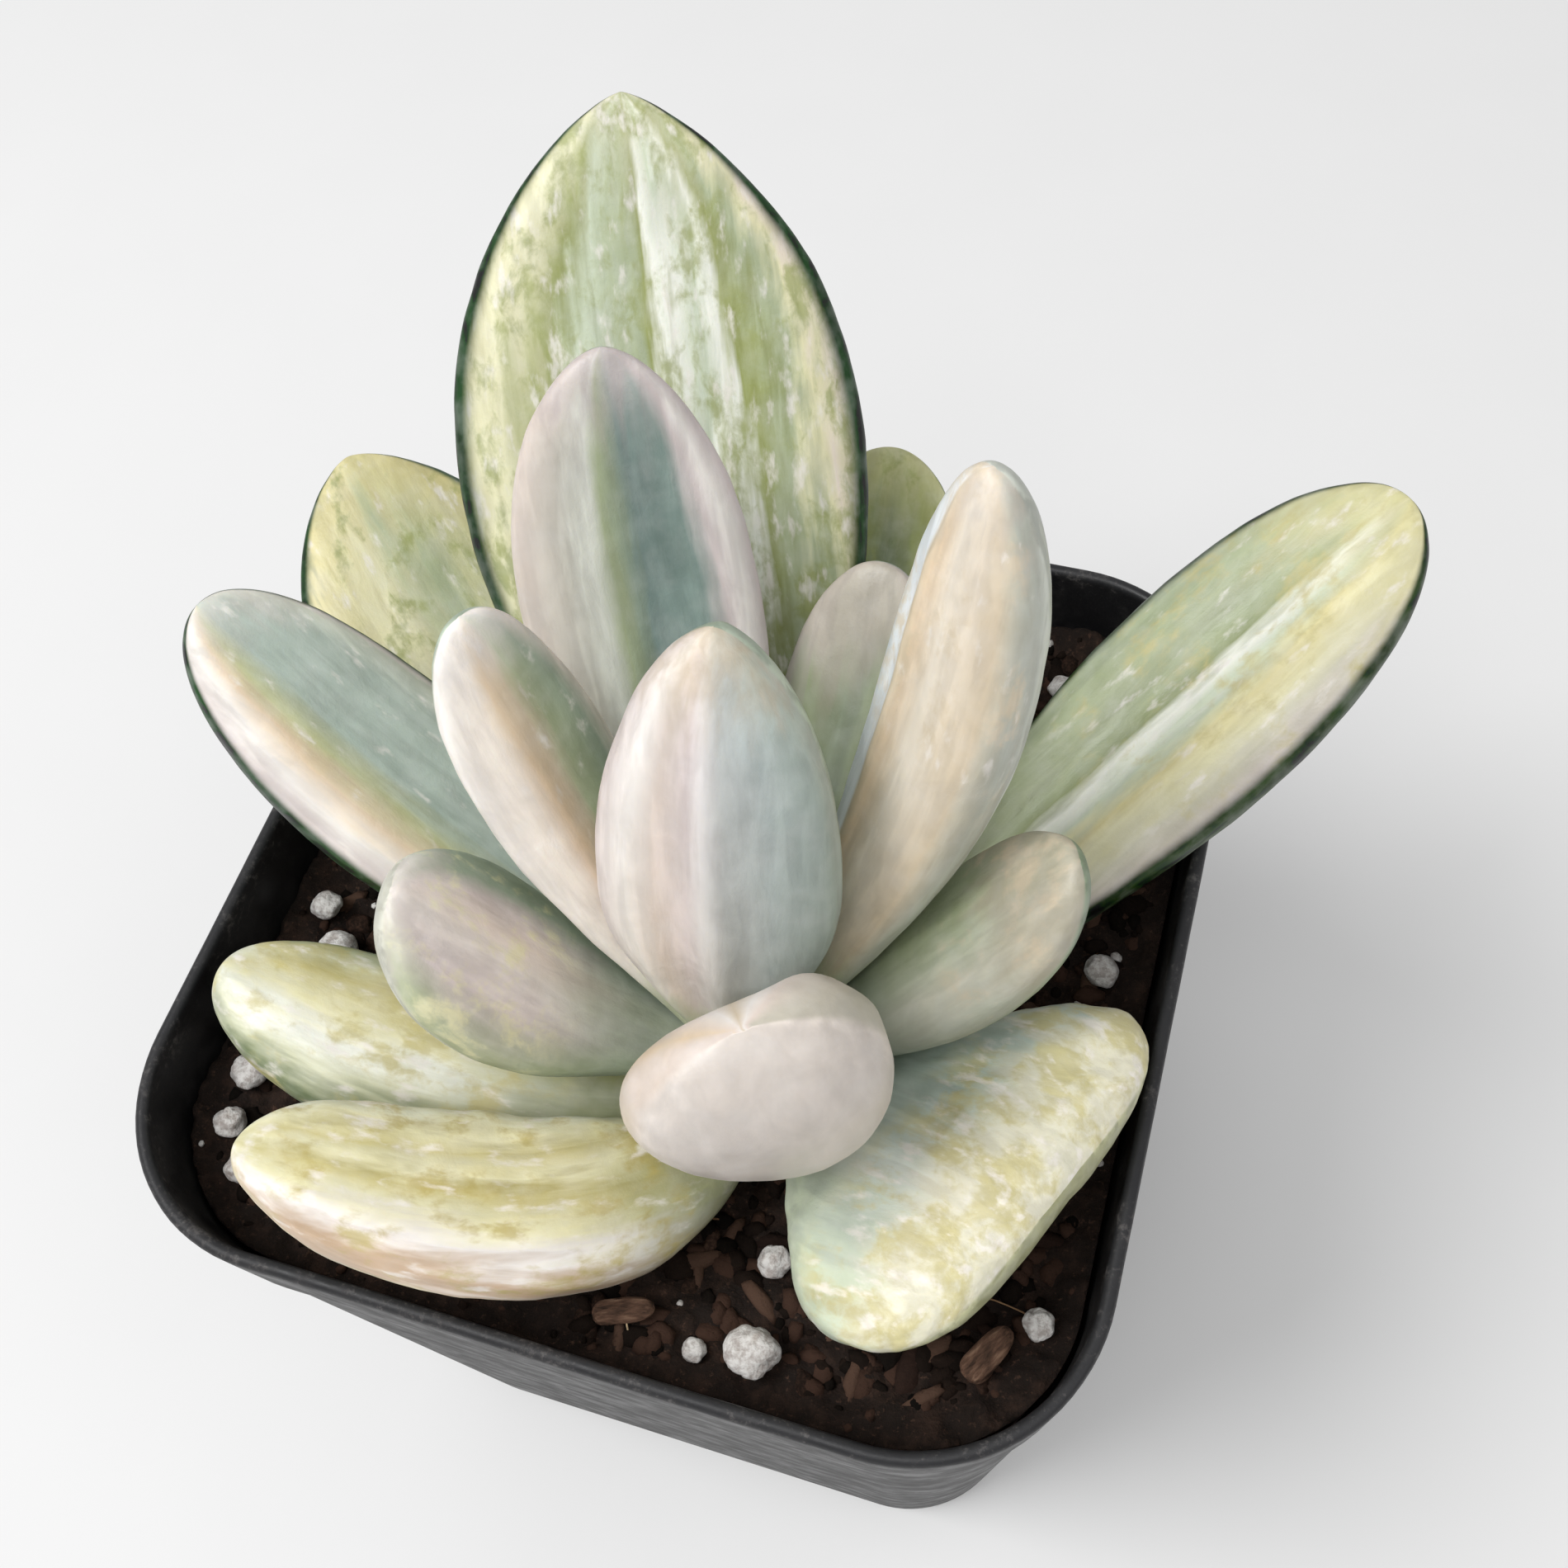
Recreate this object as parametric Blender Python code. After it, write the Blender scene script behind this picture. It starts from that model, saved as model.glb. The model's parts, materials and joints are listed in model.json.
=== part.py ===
"""A young fat-leaved succulent in a small square nursery pot.

Frame: the origin is the middle of the pot's flat underside, +Z is up, and X and Y run
along the pot's sides.  All lengths are in metres.
"""

import math
from dataclasses import dataclass

import bmesh
import bpy
from mathutils import Vector

MM = 0.001

# ---------------------------------------------------------------- driving dimensions
POT_WIDTH = 57.0 * MM          # outside, across the rim
POT_HEIGHT = 58.0 * MM
POT_TAPER = 7.0 * MM           # how much narrower the underside is than the rim
POT_WALL = 0.6 * MM
POT_FLOOR = 1.6 * MM
RIM_CORNER = 11.0 * MM         # outside corner radius at the rim
BASE_CORNER = 9.0 * MM         # outside corner radius at the underside
BAND_HEIGHT = 7.0 * MM         # the slightly wider band under the rim
BAND_STEP = 0.25 * MM          # how far the band stands out from the wall below it
HOLE_RADIUS = 2.6 * MM         # drainage holes in the floor
HOLE_INSET = 9.5 * MM          # from the base's sides to the hole centres

HEADSPACE = 9.0 * MM           # from the rim down to the soil round the stem
SOIL_DISH = 3.5 * MM           # how much higher the soil lies along the walls
SOIL_DISH_POWER = 3.0          # how close to the walls it rises
SOIL_RELIEF = 0.5 * MM         # unevenness of the soil's surface
SOIL_CELL = 1.7 * MM           # spacing of the soil surface's grid
SOIL_RIPPLE_X = 3.1 * MM       # lengths of the crossing waves in the soil's surface
SOIL_RIPPLE_Y = 2.7 * MM
SOIL_SWELL_X = 6.3 * MM
SOIL_SWELL_Y = 7.9 * MM

STEM_X = 5.0 * MM              # the rosette sits off the middle of the pot
STEM_Y = -7.0 * MM
STEM_FOOT_RADIUS = 4.0 * MM    # at the soil
STEM_HEIGHT = 8.5 * MM         # above the soil
STEM_BURIED = 7.0 * MM
STEM_TIP_SHARE = 0.75          # the stem's top face, as a share of its top radius
STEM_TIP_RISE = 0.3 * MM
STEM_SIDES = 20

ROSETTE_WIDTH = 57.0 * MM      # the pot width that the rosette's sizes are given for
LEAF_DATUM = 9.0 * MM          # the level below the rim that the leaves' curves start from
GAP = 0.3 * MM                 # clearance between pieces that touch

LEAF_NECK_WIDTH = 3.0 * MM     # where a leaf meets the stem
LEAF_NECK_THICK = 2.2 * MM
LEAF_NECK_REACH = 0.16         # how far a neck stands off the stem, as a share of its width
STEM_TOP_SHARE = 0.43          # the stem's top radius, as a share of a neck's width
LEAF_RINGS = 14
LEAF_SIDES = 18

# How a leaf's curve runs: its two middle handles lie along the straight line from root to
# tip, below it by these shares of the leaf's bow and aside by these shares of its sway.
NEAR_HANDLE = 0.33
NEAR_SAG = 1.15
NEAR_SWING = 1.4
FAR_HANDLE = 0.70
FAR_SAG = 0.95
FAR_SWING = 1.2

WIDENING = 1.25                # how slowly a leaf widens from its neck
END_ROUND = 2.1                # how late a leaf narrows towards its tip
THICKEST = 0.5                 # where along a leaf it is thickest
THINNING = 2.4                 # how late a leaf thins towards its tip
THIN_EDGE = 2.1                # how round its end is, seen from the side
NECK_CAP = 0.2 * MM            # the neck's end bulges this far towards the stem
SECTION_POWER = 0.85           # 1 is an elliptical cross-section, below 1 a fuller one
SECTION_EDGE = 2.35            # how full the underside is
CUP_SPREAD = 0.5               # width of the hollow on the upper face, as a share of half width


@dataclass
class Leaf:
    """One leaf: angles in degrees about the stem, lengths in millimetres."""

    name: str
    root_turn: float           # where the leaf leaves the stem
    root_rise: float           # above the soil
    turn: float                # direction of the tip, seen from the stem
    reach: float               # of the tip, away from the stem's axis
    rise: float                # of the tip, above the rim
    width: float
    thick: float
    bow: float = 3.0           # sag of the spine below the straight line to the tip
    sway: float = 0.0          # sideways curve of the spine
    widest: float = 0.6        # where along the leaf it is widest
    skew: float = 0.0          # how much nearer the tip the right side is widest
    point: float = 2.0         # 1 is a pointed tip, above 2 a blunt one
    roll: float = 0.0          # turn about the leaf's own spine
    cup: float = 0.0           # depth of the hollow in the upper face
    cup_at: float = 0.0        # where across the face the hollow lies, -1 left to 1 right
    belly: float = 0.6         # share of the thickness that lies below the spine
    keel: float = 2.35         # how the underside is shaped: near 1 it has a sharp keel
    keel_at: float = 0.0       # where across the underside its lowest line lies
    colour: tuple = (0.55, 0.60, 0.45)


CREAM = (0.66, 0.63, 0.42)
GREY_GREEN = (0.47, 0.56, 0.48)
BLUE_GREY = (0.52, 0.60, 0.60)
PINK_CREAM = (0.74, 0.66, 0.60)
PINK_GREY = (0.68, 0.64, 0.64)

POT_BLACK = (0.055, 0.052, 0.052)
SOIL_BROWN = (0.075, 0.048, 0.035)
GRAIN_WHITE = (0.72, 0.70, 0.67)
BARK_BROWN = (0.22, 0.13, 0.08)
STEM_GREEN = (0.36, 0.40, 0.26)

LEAVES = (
    Leaf("leaf_back_tall", 114, 4.2, 113, 43, 29, 24, 5.5, sway=-0.8, point=1.3, cup=0.5,
         colour=CREAM),
    Leaf("leaf_back_inner", 97, 8.5, 118, 24.3, 28.7, 13.0, 4.2, sway=-1.2, point=1.6, cup=0.8,
         cup_at=0.25, colour=BLUE_GREY),
    Leaf("leaf_centre", -106, 9.5, 96, 6.8, 28.5, 12.8, 7, bow=-0.8, widest=0.42, skew=0.04,
         point=1.45, belly=0.62, keel=1.5, keel_at=0.15, colour=PINK_GREY),
    Leaf("leaf_left_back", 150, 1.8, 142.3, 45, 7.5, 18, 4.2, bow=2, sway=-0.8, point=1.5,
         colour=CREAM),
    Leaf("leaf_left_long", 170, 4.4, 165.5, 33.5, 17.7, 11.8, 5.2, bow=3.1, cup=0.5, cup_at=0.3,
         colour=GREY_GREEN),
    Leaf("leaf_left_inner", -163, 8.4, 157, 14, 27, 8, 4, cup=0.3, cup_at=0.35, colour=PINK_CREAM),
    Leaf("leaf_left_short", -142, 5.8, -165, 16.2, 16, 10.4, 5, bow=3.4, colour=PINK_GREY),
    Leaf("leaf_left_low", -130, 1.8, -167, 30, 4, 10, 5.5, bow=1, sway=-2, colour=GREY_GREEN),
    Leaf("leaf_front_low", -78, 2.6, -142, 27.2, 8.4, 10.2, 6, bow=-0.6, sway=-4.6, widest=0.5,
         skew=0.14, colour=CREAM),
    Leaf("leaf_front_stub", -59, 6.3, -61, 8.9, 19.4, 13.2, 8.4, bow=2.2, widest=0.68, point=2.4,
         roll=-9, belly=0.6, keel=1.8, keel_at=-0.25, colour=PINK_CREAM),
    Leaf("leaf_front_wide", -33, 2.2, -20, 20.6, 4.6, 24, 7.5, bow=0.6, widest=0.73, skew=-0.04,
         point=3.2, roll=10, belly=0.52, colour=GREY_GREEN),
    Leaf("leaf_right_tall", 30, 8.5, 52.5, 16.8, 34.6, 8.2, 5.8, sway=1.3, cup=0.4, cup_at=-0.55,
         colour=PINK_CREAM),
    Leaf("leaf_right_short", -1, 5.6, 21, 18, 15, 8.6, 4.3, bow=1.6, colour=GREY_GREEN),
    Leaf("leaf_right_long", 24, 2.2, 48, 44.3, 14.8, 13.5, 5.3, bow=2.3, sway=-0.4, widest=0.65,
         colour=CREAM),
    Leaf("leaf_back_right", 62, 6, 82, 21.3, 16, 9, 4, bow=2, colour=BLUE_GREY),
    Leaf("leaf_back_low", 70, 2, 92, 38, 5.5, 12.5, 4.2, bow=1.5, colour=GREY_GREEN),
)

# Light grains of perlite on the soil: X and Y from the pot's middle and size, in millimetres.
GRAINS = (
    (-24.7, -5.4, 2.0),
    (-22.8, -8.0, 2.6),
    (-24.8, -13.6, 1.5),
    (-24.5, -17.0, 2.4),
    (-24.1, -20.3, 2.0),
    (-22.2, -22.7, 1.8),
    (10.3, -24.2, 3.0),
    (7.0, -24.9, 1.4),
    (24.9, -18.6, 1.8),
    (9.7, -18.8, 2.0),
    (18.2, 16.1, 2.2),
    (17.5, 22.5, 2.0),
    (24.0, 3.0, 2.1),
    (-8.0, 22.5, 2.4),
    (-20.5, 19.5, 2.0),
)

# Chips of bark: X, Y, length, width and turn in degrees, lengths in millimetres.
CHIPS = (
    (22.6, -20.8, 3.6, 1.8, 60.0),
    (2.5, -24.0, 3.6, 1.6, 20.0),
    (-23.5, 12.5, 4.6, 1.8, 80.0),
    (9.5, 23.0, 5.0, 2.0, 10.0),
    (24.0, -6.5, 4.2, 1.8, 85.0),
)

SOIL_SPAN = 54.3 * MM          # inside width that the grains' and chips' places are given for
GRAIN_FLATNESS = 0.75          # a grain's height, as a share of its width
GRAIN_LUMP = 0.10              # how far a grain's skin wanders, as a share of its radius
CHIP_TAPER = 0.75              # a chip's narrow end, as a share of its wide one
CHIP_THICK = 1.1 * MM
CHIP_BEVEL = 0.3 * MM

POT_BASE_WIDTH = POT_WIDTH - POT_TAPER
ROSETTE_SCALE = POT_WIDTH / ROSETTE_WIDTH
NECK_WIDTH = LEAF_NECK_WIDTH * ROSETTE_SCALE
NECK_THICK = LEAF_NECK_THICK * ROSETTE_SCALE
RIM_Z = POT_HEIGHT
SOIL_Z = POT_HEIGHT - HEADSPACE
CORNER_STEPS = 10
SIDE_STEPS = 3


# ---------------------------------------------------------------- helpers
def clear_scene():
    """Remove whatever the file holds before the model is made."""
    for old in list(bpy.data.objects):
        bpy.data.objects.remove(old, do_unlink=True)


def make_material(name, colour, roughness):
    """A non-metal with the piece's colour."""
    made = bpy.data.materials.new(name)
    made.use_nodes = True
    shader = made.node_tree.nodes["Principled BSDF"]
    shader.inputs["Base Color"].default_value = (*colour, 1.0)
    shader.inputs["Roughness"].default_value = roughness
    shader.inputs["Metallic"].default_value = 0.0
    made.diffuse_color = (*colour, 1.0)
    return made


def add_piece(name, bm, colour, roughness, sharp_angle=60.0):
    """Turn a bmesh into a named, smooth-shaded object with its own material."""
    bmesh.ops.recalc_face_normals(bm, faces=bm.faces)
    mesh = bpy.data.meshes.new(name)
    bm.to_mesh(mesh)
    bm.free()
    mesh.shade_smooth()
    mesh.set_sharp_from_angle(angle=math.radians(sharp_angle))
    mesh.materials.append(make_material(name, colour, roughness))
    piece = bpy.data.objects.new(name, mesh)
    bpy.context.scene.collection.objects.link(piece)
    return piece


def loft(rings, first_point, last_point):
    """A closed skin through rings of equal point count, with a fan of faces at each end."""
    bm = bmesh.new()
    loops = [[bm.verts.new(point) for point in ring] for ring in rings]
    count = len(loops[0])
    for lower, upper in zip(loops, loops[1:]):
        for i in range(count):
            j = (i + 1) % count
            bm.faces.new((lower[i], lower[j], upper[j], upper[i]))
    first = bm.verts.new(first_point)
    last = bm.verts.new(last_point)
    for i in range(count):
        j = (i + 1) % count
        bm.faces.new((first, loops[0][j], loops[0][i]))
        bm.faces.new((last, loops[-1][i], loops[-1][j]))
    return bm


def square_ring(width, corner, z):
    """A square of this outside width with rounded corners, anticlockwise from +X."""
    half = width / 2.0
    ring = []
    for quarter in range(4):
        turn = math.pi / 2.0 * quarter
        along = Vector((math.cos(turn), math.sin(turn), 0.0))
        left = Vector((-along.y, along.x, 0.0))
        straight = half - corner
        for step in range(SIDE_STEPS * 2):
            side = -straight + straight * step / SIDE_STEPS
            ring.append(along * half + left * side + Vector((0.0, 0.0, z)))
        centre = (along + left) * straight
        for step in range(CORNER_STEPS):
            angle = turn + math.pi / 2.0 * step / CORNER_STEPS
            arm = Vector((math.cos(angle), math.sin(angle), 0.0)) * corner
            ring.append(centre + arm + Vector((0.0, 0.0, z)))
    return ring


# ---------------------------------------------------------------- pot
def wall_at(z):
    """Outside width and corner radius of the pot's tapering wall at a height."""
    share = z / POT_HEIGHT
    width = POT_BASE_WIDTH + (POT_WIDTH - 2.0 * BAND_STEP - POT_BASE_WIDTH) * share
    corner = BASE_CORNER + (RIM_CORNER - BAND_STEP - BASE_CORNER) * share
    return width, corner


def inside_at(z):
    """Inside width and corner radius of the pot at a height."""
    width, corner = wall_at(z)
    return width - 2.0 * POT_WALL, corner - POT_WALL


def build_pot():
    """The square pot: a tapering thin wall, a band under the rim and a holed floor."""
    edge = POT_WALL / 2.0
    band_z = POT_HEIGHT - BAND_HEIGHT
    base_width, base_corner = wall_at(0.0)
    rings = [square_ring(base_width - 2.0 * edge, base_corner - edge, 0.0)]
    rings.append(square_ring(*wall_at(edge), edge))
    rings.append(square_ring(*wall_at(band_z - BAND_STEP), band_z - BAND_STEP))
    band_width = wall_at(band_z)[0] + 2.0 * BAND_STEP
    rings.append(square_ring(band_width, wall_at(band_z)[1] + BAND_STEP, band_z))
    rings.append(square_ring(POT_WIDTH, RIM_CORNER, POT_HEIGHT - edge / 2.0))
    rings.append(square_ring(POT_WIDTH - edge, RIM_CORNER - edge / 2.0, POT_HEIGHT))
    lip_width, lip_corner = inside_at(POT_HEIGHT)
    rings.append(square_ring(lip_width + edge, lip_corner + edge / 2.0, POT_HEIGHT))
    rings.append(square_ring(lip_width, lip_corner, POT_HEIGHT - edge / 2.0))
    rings.append(square_ring(*inside_at(POT_FLOOR), POT_FLOOR))
    bm = loft(rings, (0.0, 0.0, 0.0), (0.0, 0.0, POT_FLOOR))
    pot = add_piece("pot", bm, POT_BLACK, 0.45, sharp_angle=40.0)

    holes = bmesh.new()
    reach = POT_BASE_WIDTH / 2.0 - HOLE_INSET
    for side_x in (-1, 1):
        for side_y in (-1, 1):
            made = bmesh.ops.create_cone(
                holes,
                cap_ends=True,
                segments=20,
                radius1=HOLE_RADIUS,
                radius2=HOLE_RADIUS,
                depth=POT_FLOOR * 3.0,
            )
            shift = Vector((side_x * reach, side_y * reach, POT_FLOOR / 2.0))
            bmesh.ops.translate(holes, verts=made["verts"], vec=shift)
    cutter = add_piece("drain_hole_cutter", holes, POT_BLACK, 0.45)
    cutter.hide_render = True
    cutter.display_type = "WIRE"
    drill = pot.modifiers.new("drain holes", "BOOLEAN")
    drill.operation = "DIFFERENCE"
    drill.solver = "EXACT"
    drill.object = cutter


# ---------------------------------------------------------------- soil
def soil_height(x, y):
    """The soil's surface: a dish, higher along the walls, with a few crossing waves."""
    half = inside_at(SOIL_Z)[0] / 2.0
    outness = ((x / half) ** 4 + (y / half) ** 4) ** 0.25
    dish = SOIL_DISH * outness**SOIL_DISH_POWER
    wave = math.sin(x / SOIL_RIPPLE_X + 0.7) * math.sin(y / SOIL_RIPPLE_Y + 1.9)
    swell = math.sin(x / SOIL_SWELL_X - y / SOIL_SWELL_Y)
    return SOIL_Z + dish + SOIL_RELIEF * (0.55 * wave + 0.45 * swell)


def build_soil():
    """The block of potting mix, filling the pot, with a pocket for the stem."""
    floor_z = POT_FLOOR + GAP
    floor_width, floor_corner = inside_at(floor_z)
    top_width, top_corner = inside_at(SOIL_Z + SOIL_DISH)
    base = square_ring(floor_width - 2.0 * GAP, floor_corner - GAP, floor_z)
    outline = square_ring(top_width - 2.0 * GAP, top_corner - GAP, SOIL_Z)
    pocket = STEM_FOOT_RADIUS * ROSETTE_SCALE + GAP
    stem = Vector((STEM_X, STEM_Y, 0.0)) * ROSETTE_SCALE

    mouth = []
    for point in outline:
        away = (point - stem).xy.normalized()
        mouth.append(Vector((stem.x + pocket * away.x, stem.y + pocket * away.y, SOIL_Z)))
    steps = round((top_width / 2.0 - pocket) / SOIL_CELL)
    rings = [base]
    for step in range(steps + 1):
        share = step / steps
        ring = [outer.lerp(inner, share) for outer, inner in zip(outline, mouth)]
        for point in ring:
            point.z = soil_height(point.x, point.y)
        rings.append(ring)
    pocket_z = SOIL_Z - STEM_BURIED - GAP
    rings.append([Vector((point.x, point.y, pocket_z)) for point in mouth])
    bm = loft(rings, (0.0, 0.0, floor_z), (stem.x, stem.y, pocket_z))
    add_piece("soil", bm, SOIL_BROWN, 0.95)


def rest_height(x, y, radius):
    """How high something of this radius has to sit to clear the soil below it."""
    highest = soil_height(x, y)
    for step in range(8):
        angle = math.pi / 4.0 * step
        edge_x = x + radius * math.cos(angle)
        edge_y = y + radius * math.sin(angle)
        highest = max(highest, soil_height(edge_x, edge_y))
    return highest + GAP


def build_grains():
    """Perlite: pale lumps lying on the soil."""
    inner_scale = inside_at(SOIL_Z)[0] / SOIL_SPAN
    for number, (x, y, size) in enumerate(GRAINS, start=1):
        x *= MM * inner_scale
        y *= MM * inner_scale
        radius = size * MM / 2.0
        bm = bmesh.new()
        bmesh.ops.create_icosphere(bm, subdivisions=1, radius=radius)
        for vert in bm.verts:
            lump = math.sin(vert.co.x / radius * 3.0 + number) * math.cos(
                vert.co.y / radius * 4.0 - 2.0 * number
            )
            vert.co *= 1.0 - GRAIN_LUMP + GRAIN_LUMP * lump
            vert.co.z *= GRAIN_FLATNESS
        lowest = min(vert.co.z for vert in bm.verts)
        shift = Vector((x, y, rest_height(x, y, radius) - lowest))
        bmesh.ops.translate(bm, verts=bm.verts, vec=shift)
        add_piece(f"perlite_{number:02d}", bm, GRAIN_WHITE, 0.9)


def build_chips():
    """Bark: short flat splinters lying on the soil."""
    inner_scale = inside_at(SOIL_Z)[0] / SOIL_SPAN
    for number, (x, y, length, width, turn) in enumerate(CHIPS, start=1):
        x *= MM * inner_scale
        y *= MM * inner_scale
        bm = bmesh.new()
        bmesh.ops.create_cube(bm, size=1.0)
        for vert in bm.verts:
            taper = CHIP_TAPER if vert.co.x > 0.0 else 1.0
            vert.co.x *= length * MM
            vert.co.y *= width * MM * taper
            vert.co.z *= CHIP_THICK * taper
        bmesh.ops.bevel(bm, geom=bm.edges[:], offset=CHIP_BEVEL, segments=1, affect="EDGES")
        lowest = min(vert.co.z for vert in bm.verts)
        spin = math.radians(turn)
        for vert in bm.verts:
            along, across = vert.co.x, vert.co.y
            vert.co.x = x + along * math.cos(spin) - across * math.sin(spin)
            vert.co.y = y + along * math.sin(spin) + across * math.cos(spin)
            vert.co.z += rest_height(x, y, length * MM / 2.0) - lowest
        add_piece(f"bark_{number}", bm, BARK_BROWN, 0.85)


# ---------------------------------------------------------------- stem and leaves
def stem_radius(rise):
    """Radius of the tapering stem at a height above the soil."""
    share = min(max(rise / (STEM_HEIGHT * ROSETTE_SCALE), 0.0), 1.0)
    foot = STEM_FOOT_RADIUS * ROSETTE_SCALE
    top = NECK_WIDTH * STEM_TOP_SHARE
    return foot + (top - foot) * share


def build_stem():
    """The short stem: a round foot in the soil, tapering to the growing tip."""
    height = STEM_HEIGHT * ROSETTE_SCALE
    levels = (-STEM_BURIED, 0.0, 0.3 * height, 0.6 * height, 0.9 * height, height)
    centre = Vector((STEM_X, STEM_Y, 0.0)) * ROSETTE_SCALE + Vector((0.0, 0.0, SOIL_Z))
    rings = []
    for level in levels:
        radius = stem_radius(level) * (STEM_TIP_SHARE if level == height else 1.0)
        ring = []
        for side in range(STEM_SIDES):
            angle = 2.0 * math.pi * side / STEM_SIDES
            arm = Vector((radius * math.cos(angle), radius * math.sin(angle), level))
            ring.append(centre + arm)
        rings.append(ring)
    foot = centre + Vector((0.0, 0.0, -STEM_BURIED))
    top = centre + Vector((0.0, 0.0, height + STEM_TIP_RISE))
    add_piece("stem", loft(rings, foot, top), STEM_GREEN, 0.7)


def leaf_spine(leaf):
    """The four control points of the curve along the middle of a leaf."""
    unit = MM * ROSETTE_SCALE
    axis = Vector((STEM_X, STEM_Y, 0.0)) * ROSETTE_SCALE
    root_angle = math.radians(leaf.root_turn)
    tip_angle = math.radians(leaf.turn)
    root_rise = leaf.root_rise * unit
    root_reach = stem_radius(root_rise) + GAP + NECK_WIDTH * LEAF_NECK_REACH
    root = axis + Vector((math.cos(root_angle), math.sin(root_angle), 0.0)) * root_reach
    root.z = SOIL_Z + root_rise
    tip = axis + Vector((math.cos(tip_angle), math.sin(tip_angle), 0.0)) * leaf.reach * unit
    tip.z = RIM_Z + leaf.rise * unit

    datum = Vector((root.x, root.y, RIM_Z - LEAF_DATUM * ROSETTE_SCALE + root_rise))
    chord = tip - datum
    side = chord.cross(Vector((0.0, 0.0, 1.0))).normalized()
    lift = side.cross(chord).normalized()
    sag = lift * leaf.bow * unit
    swing = side * leaf.sway * unit
    near = datum + chord * NEAR_HANDLE - sag * NEAR_SAG + swing * NEAR_SWING
    far = datum + chord * FAR_HANDLE - sag * FAR_SAG + swing * FAR_SWING
    return (root, near, far, tip), side


def along_curve(points, share):
    """Place and direction on a cubic curve."""
    a, b, c, d = points
    rest = 1.0 - share
    place = a * rest**3 + b * 3 * rest**2 * share + c * 3 * rest * share**2 + d * share**3
    heading = (b - a) * rest**2 + (c - b) * 2 * rest * share + (d - c) * share**2
    return place, heading.normalized()


def leaf_half_width(leaf, share, widest):
    """Half the leaf's width on one side: a narrow neck, a belly, then the tip's curve."""
    full = leaf.width * MM * ROSETTE_SCALE / 2.0
    neck = min(NECK_WIDTH / 2.0, full)
    if share <= widest:
        return neck + (full - neck) * math.sin(math.pi / 2.0 * share / widest) ** WIDENING
    beyond = (share - widest) / (1.0 - widest)
    return full * (1.0 - beyond**END_ROUND) ** (1.0 / leaf.point)


def leaf_thickness(leaf, share):
    """Full thickness of the leaf along its length."""
    full = leaf.thick * MM * ROSETTE_SCALE
    neck = min(NECK_THICK, full)
    if share <= THICKEST:
        return neck + (full - neck) * math.sin(math.pi / 2.0 * share / THICKEST)
    beyond = (share - THICKEST) / (1.0 - THICKEST)
    return full * (1.0 - beyond**THINNING) ** (1.0 / THIN_EDGE)


def leaf_section(leaf, share):
    """The leaf's outline across its spine: pairs of offsets, rightwards and upwards."""
    right_half = leaf_half_width(leaf, share, leaf.widest + leaf.skew)
    left_half = leaf_half_width(leaf, share, leaf.widest - leaf.skew)
    thick = leaf_thickness(leaf, share)
    grown = (right_half + left_half) / (leaf.width * MM * ROSETTE_SCALE)
    section = []
    for step in range(LEAF_SIDES):
        angle = 2.0 * math.pi * step / LEAF_SIDES
        out = math.copysign(abs(math.cos(angle)) ** SECTION_POWER, math.cos(angle))
        if math.sin(angle) >= 0.0:
            dip = math.exp(-(((out - leaf.cup_at) / CUP_SPREAD) ** 2)) * (1.0 - out**4)
            up = thick * (1.0 - leaf.belly) * abs(math.sin(angle)) ** SECTION_POWER
            up -= leaf.cup * MM * ROSETTE_SCALE * dip * grown**2
        else:
            drop = max(1.0 - abs(out) ** leaf.keel, 0.0) ** (1.0 / SECTION_EDGE)
            up = -thick * leaf.belly * drop
            out += leaf.keel_at * drop**2
        section.append((out * (right_half if out > 0.0 else left_half), up))
    return section


def build_leaf(leaf):
    """One fleshy leaf: flattish or hollow above, rounder below, lofted along its spine."""
    points, side = leaf_spine(leaf)
    body_rings = LEAF_RINGS // 2
    end_rings = LEAF_RINGS - body_rings
    shares = [leaf.widest * step / body_rings for step in range(body_rings)]
    for step in range(end_rings):
        beyond = math.sin(math.pi / 2.0 * step / end_rings)
        shares.append(leaf.widest + (1.0 - leaf.widest) * beyond)
    spin = math.radians(leaf.roll)
    rings = []
    for share in shares:
        place, heading = along_curve(points, share)
        across = (side - heading * side.dot(heading)).normalized()
        lift = across.cross(heading)
        right = across * math.cos(spin) + lift * math.sin(spin)
        above = lift * math.cos(spin) - across * math.sin(spin)
        rings.append([place + right * out + above * up for out, up in leaf_section(leaf, share)])
    start, heading = along_curve(points, 0.0)
    bm = loft(rings, start - heading * NECK_CAP, points[3])
    add_piece(leaf.name, bm, leaf.colour, 0.6)


clear_scene()
build_pot()
build_soil()
build_grains()
build_chips()
build_stem()
for one_leaf in LEAVES:
    build_leaf(one_leaf)
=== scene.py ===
"""Looks for the potted succulent: fine leaves, soil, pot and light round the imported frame."""

import json
import math
import random
from dataclasses import dataclass

import bmesh
import bpy
import numpy as np
from mathutils import Matrix, Vector, noise


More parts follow.
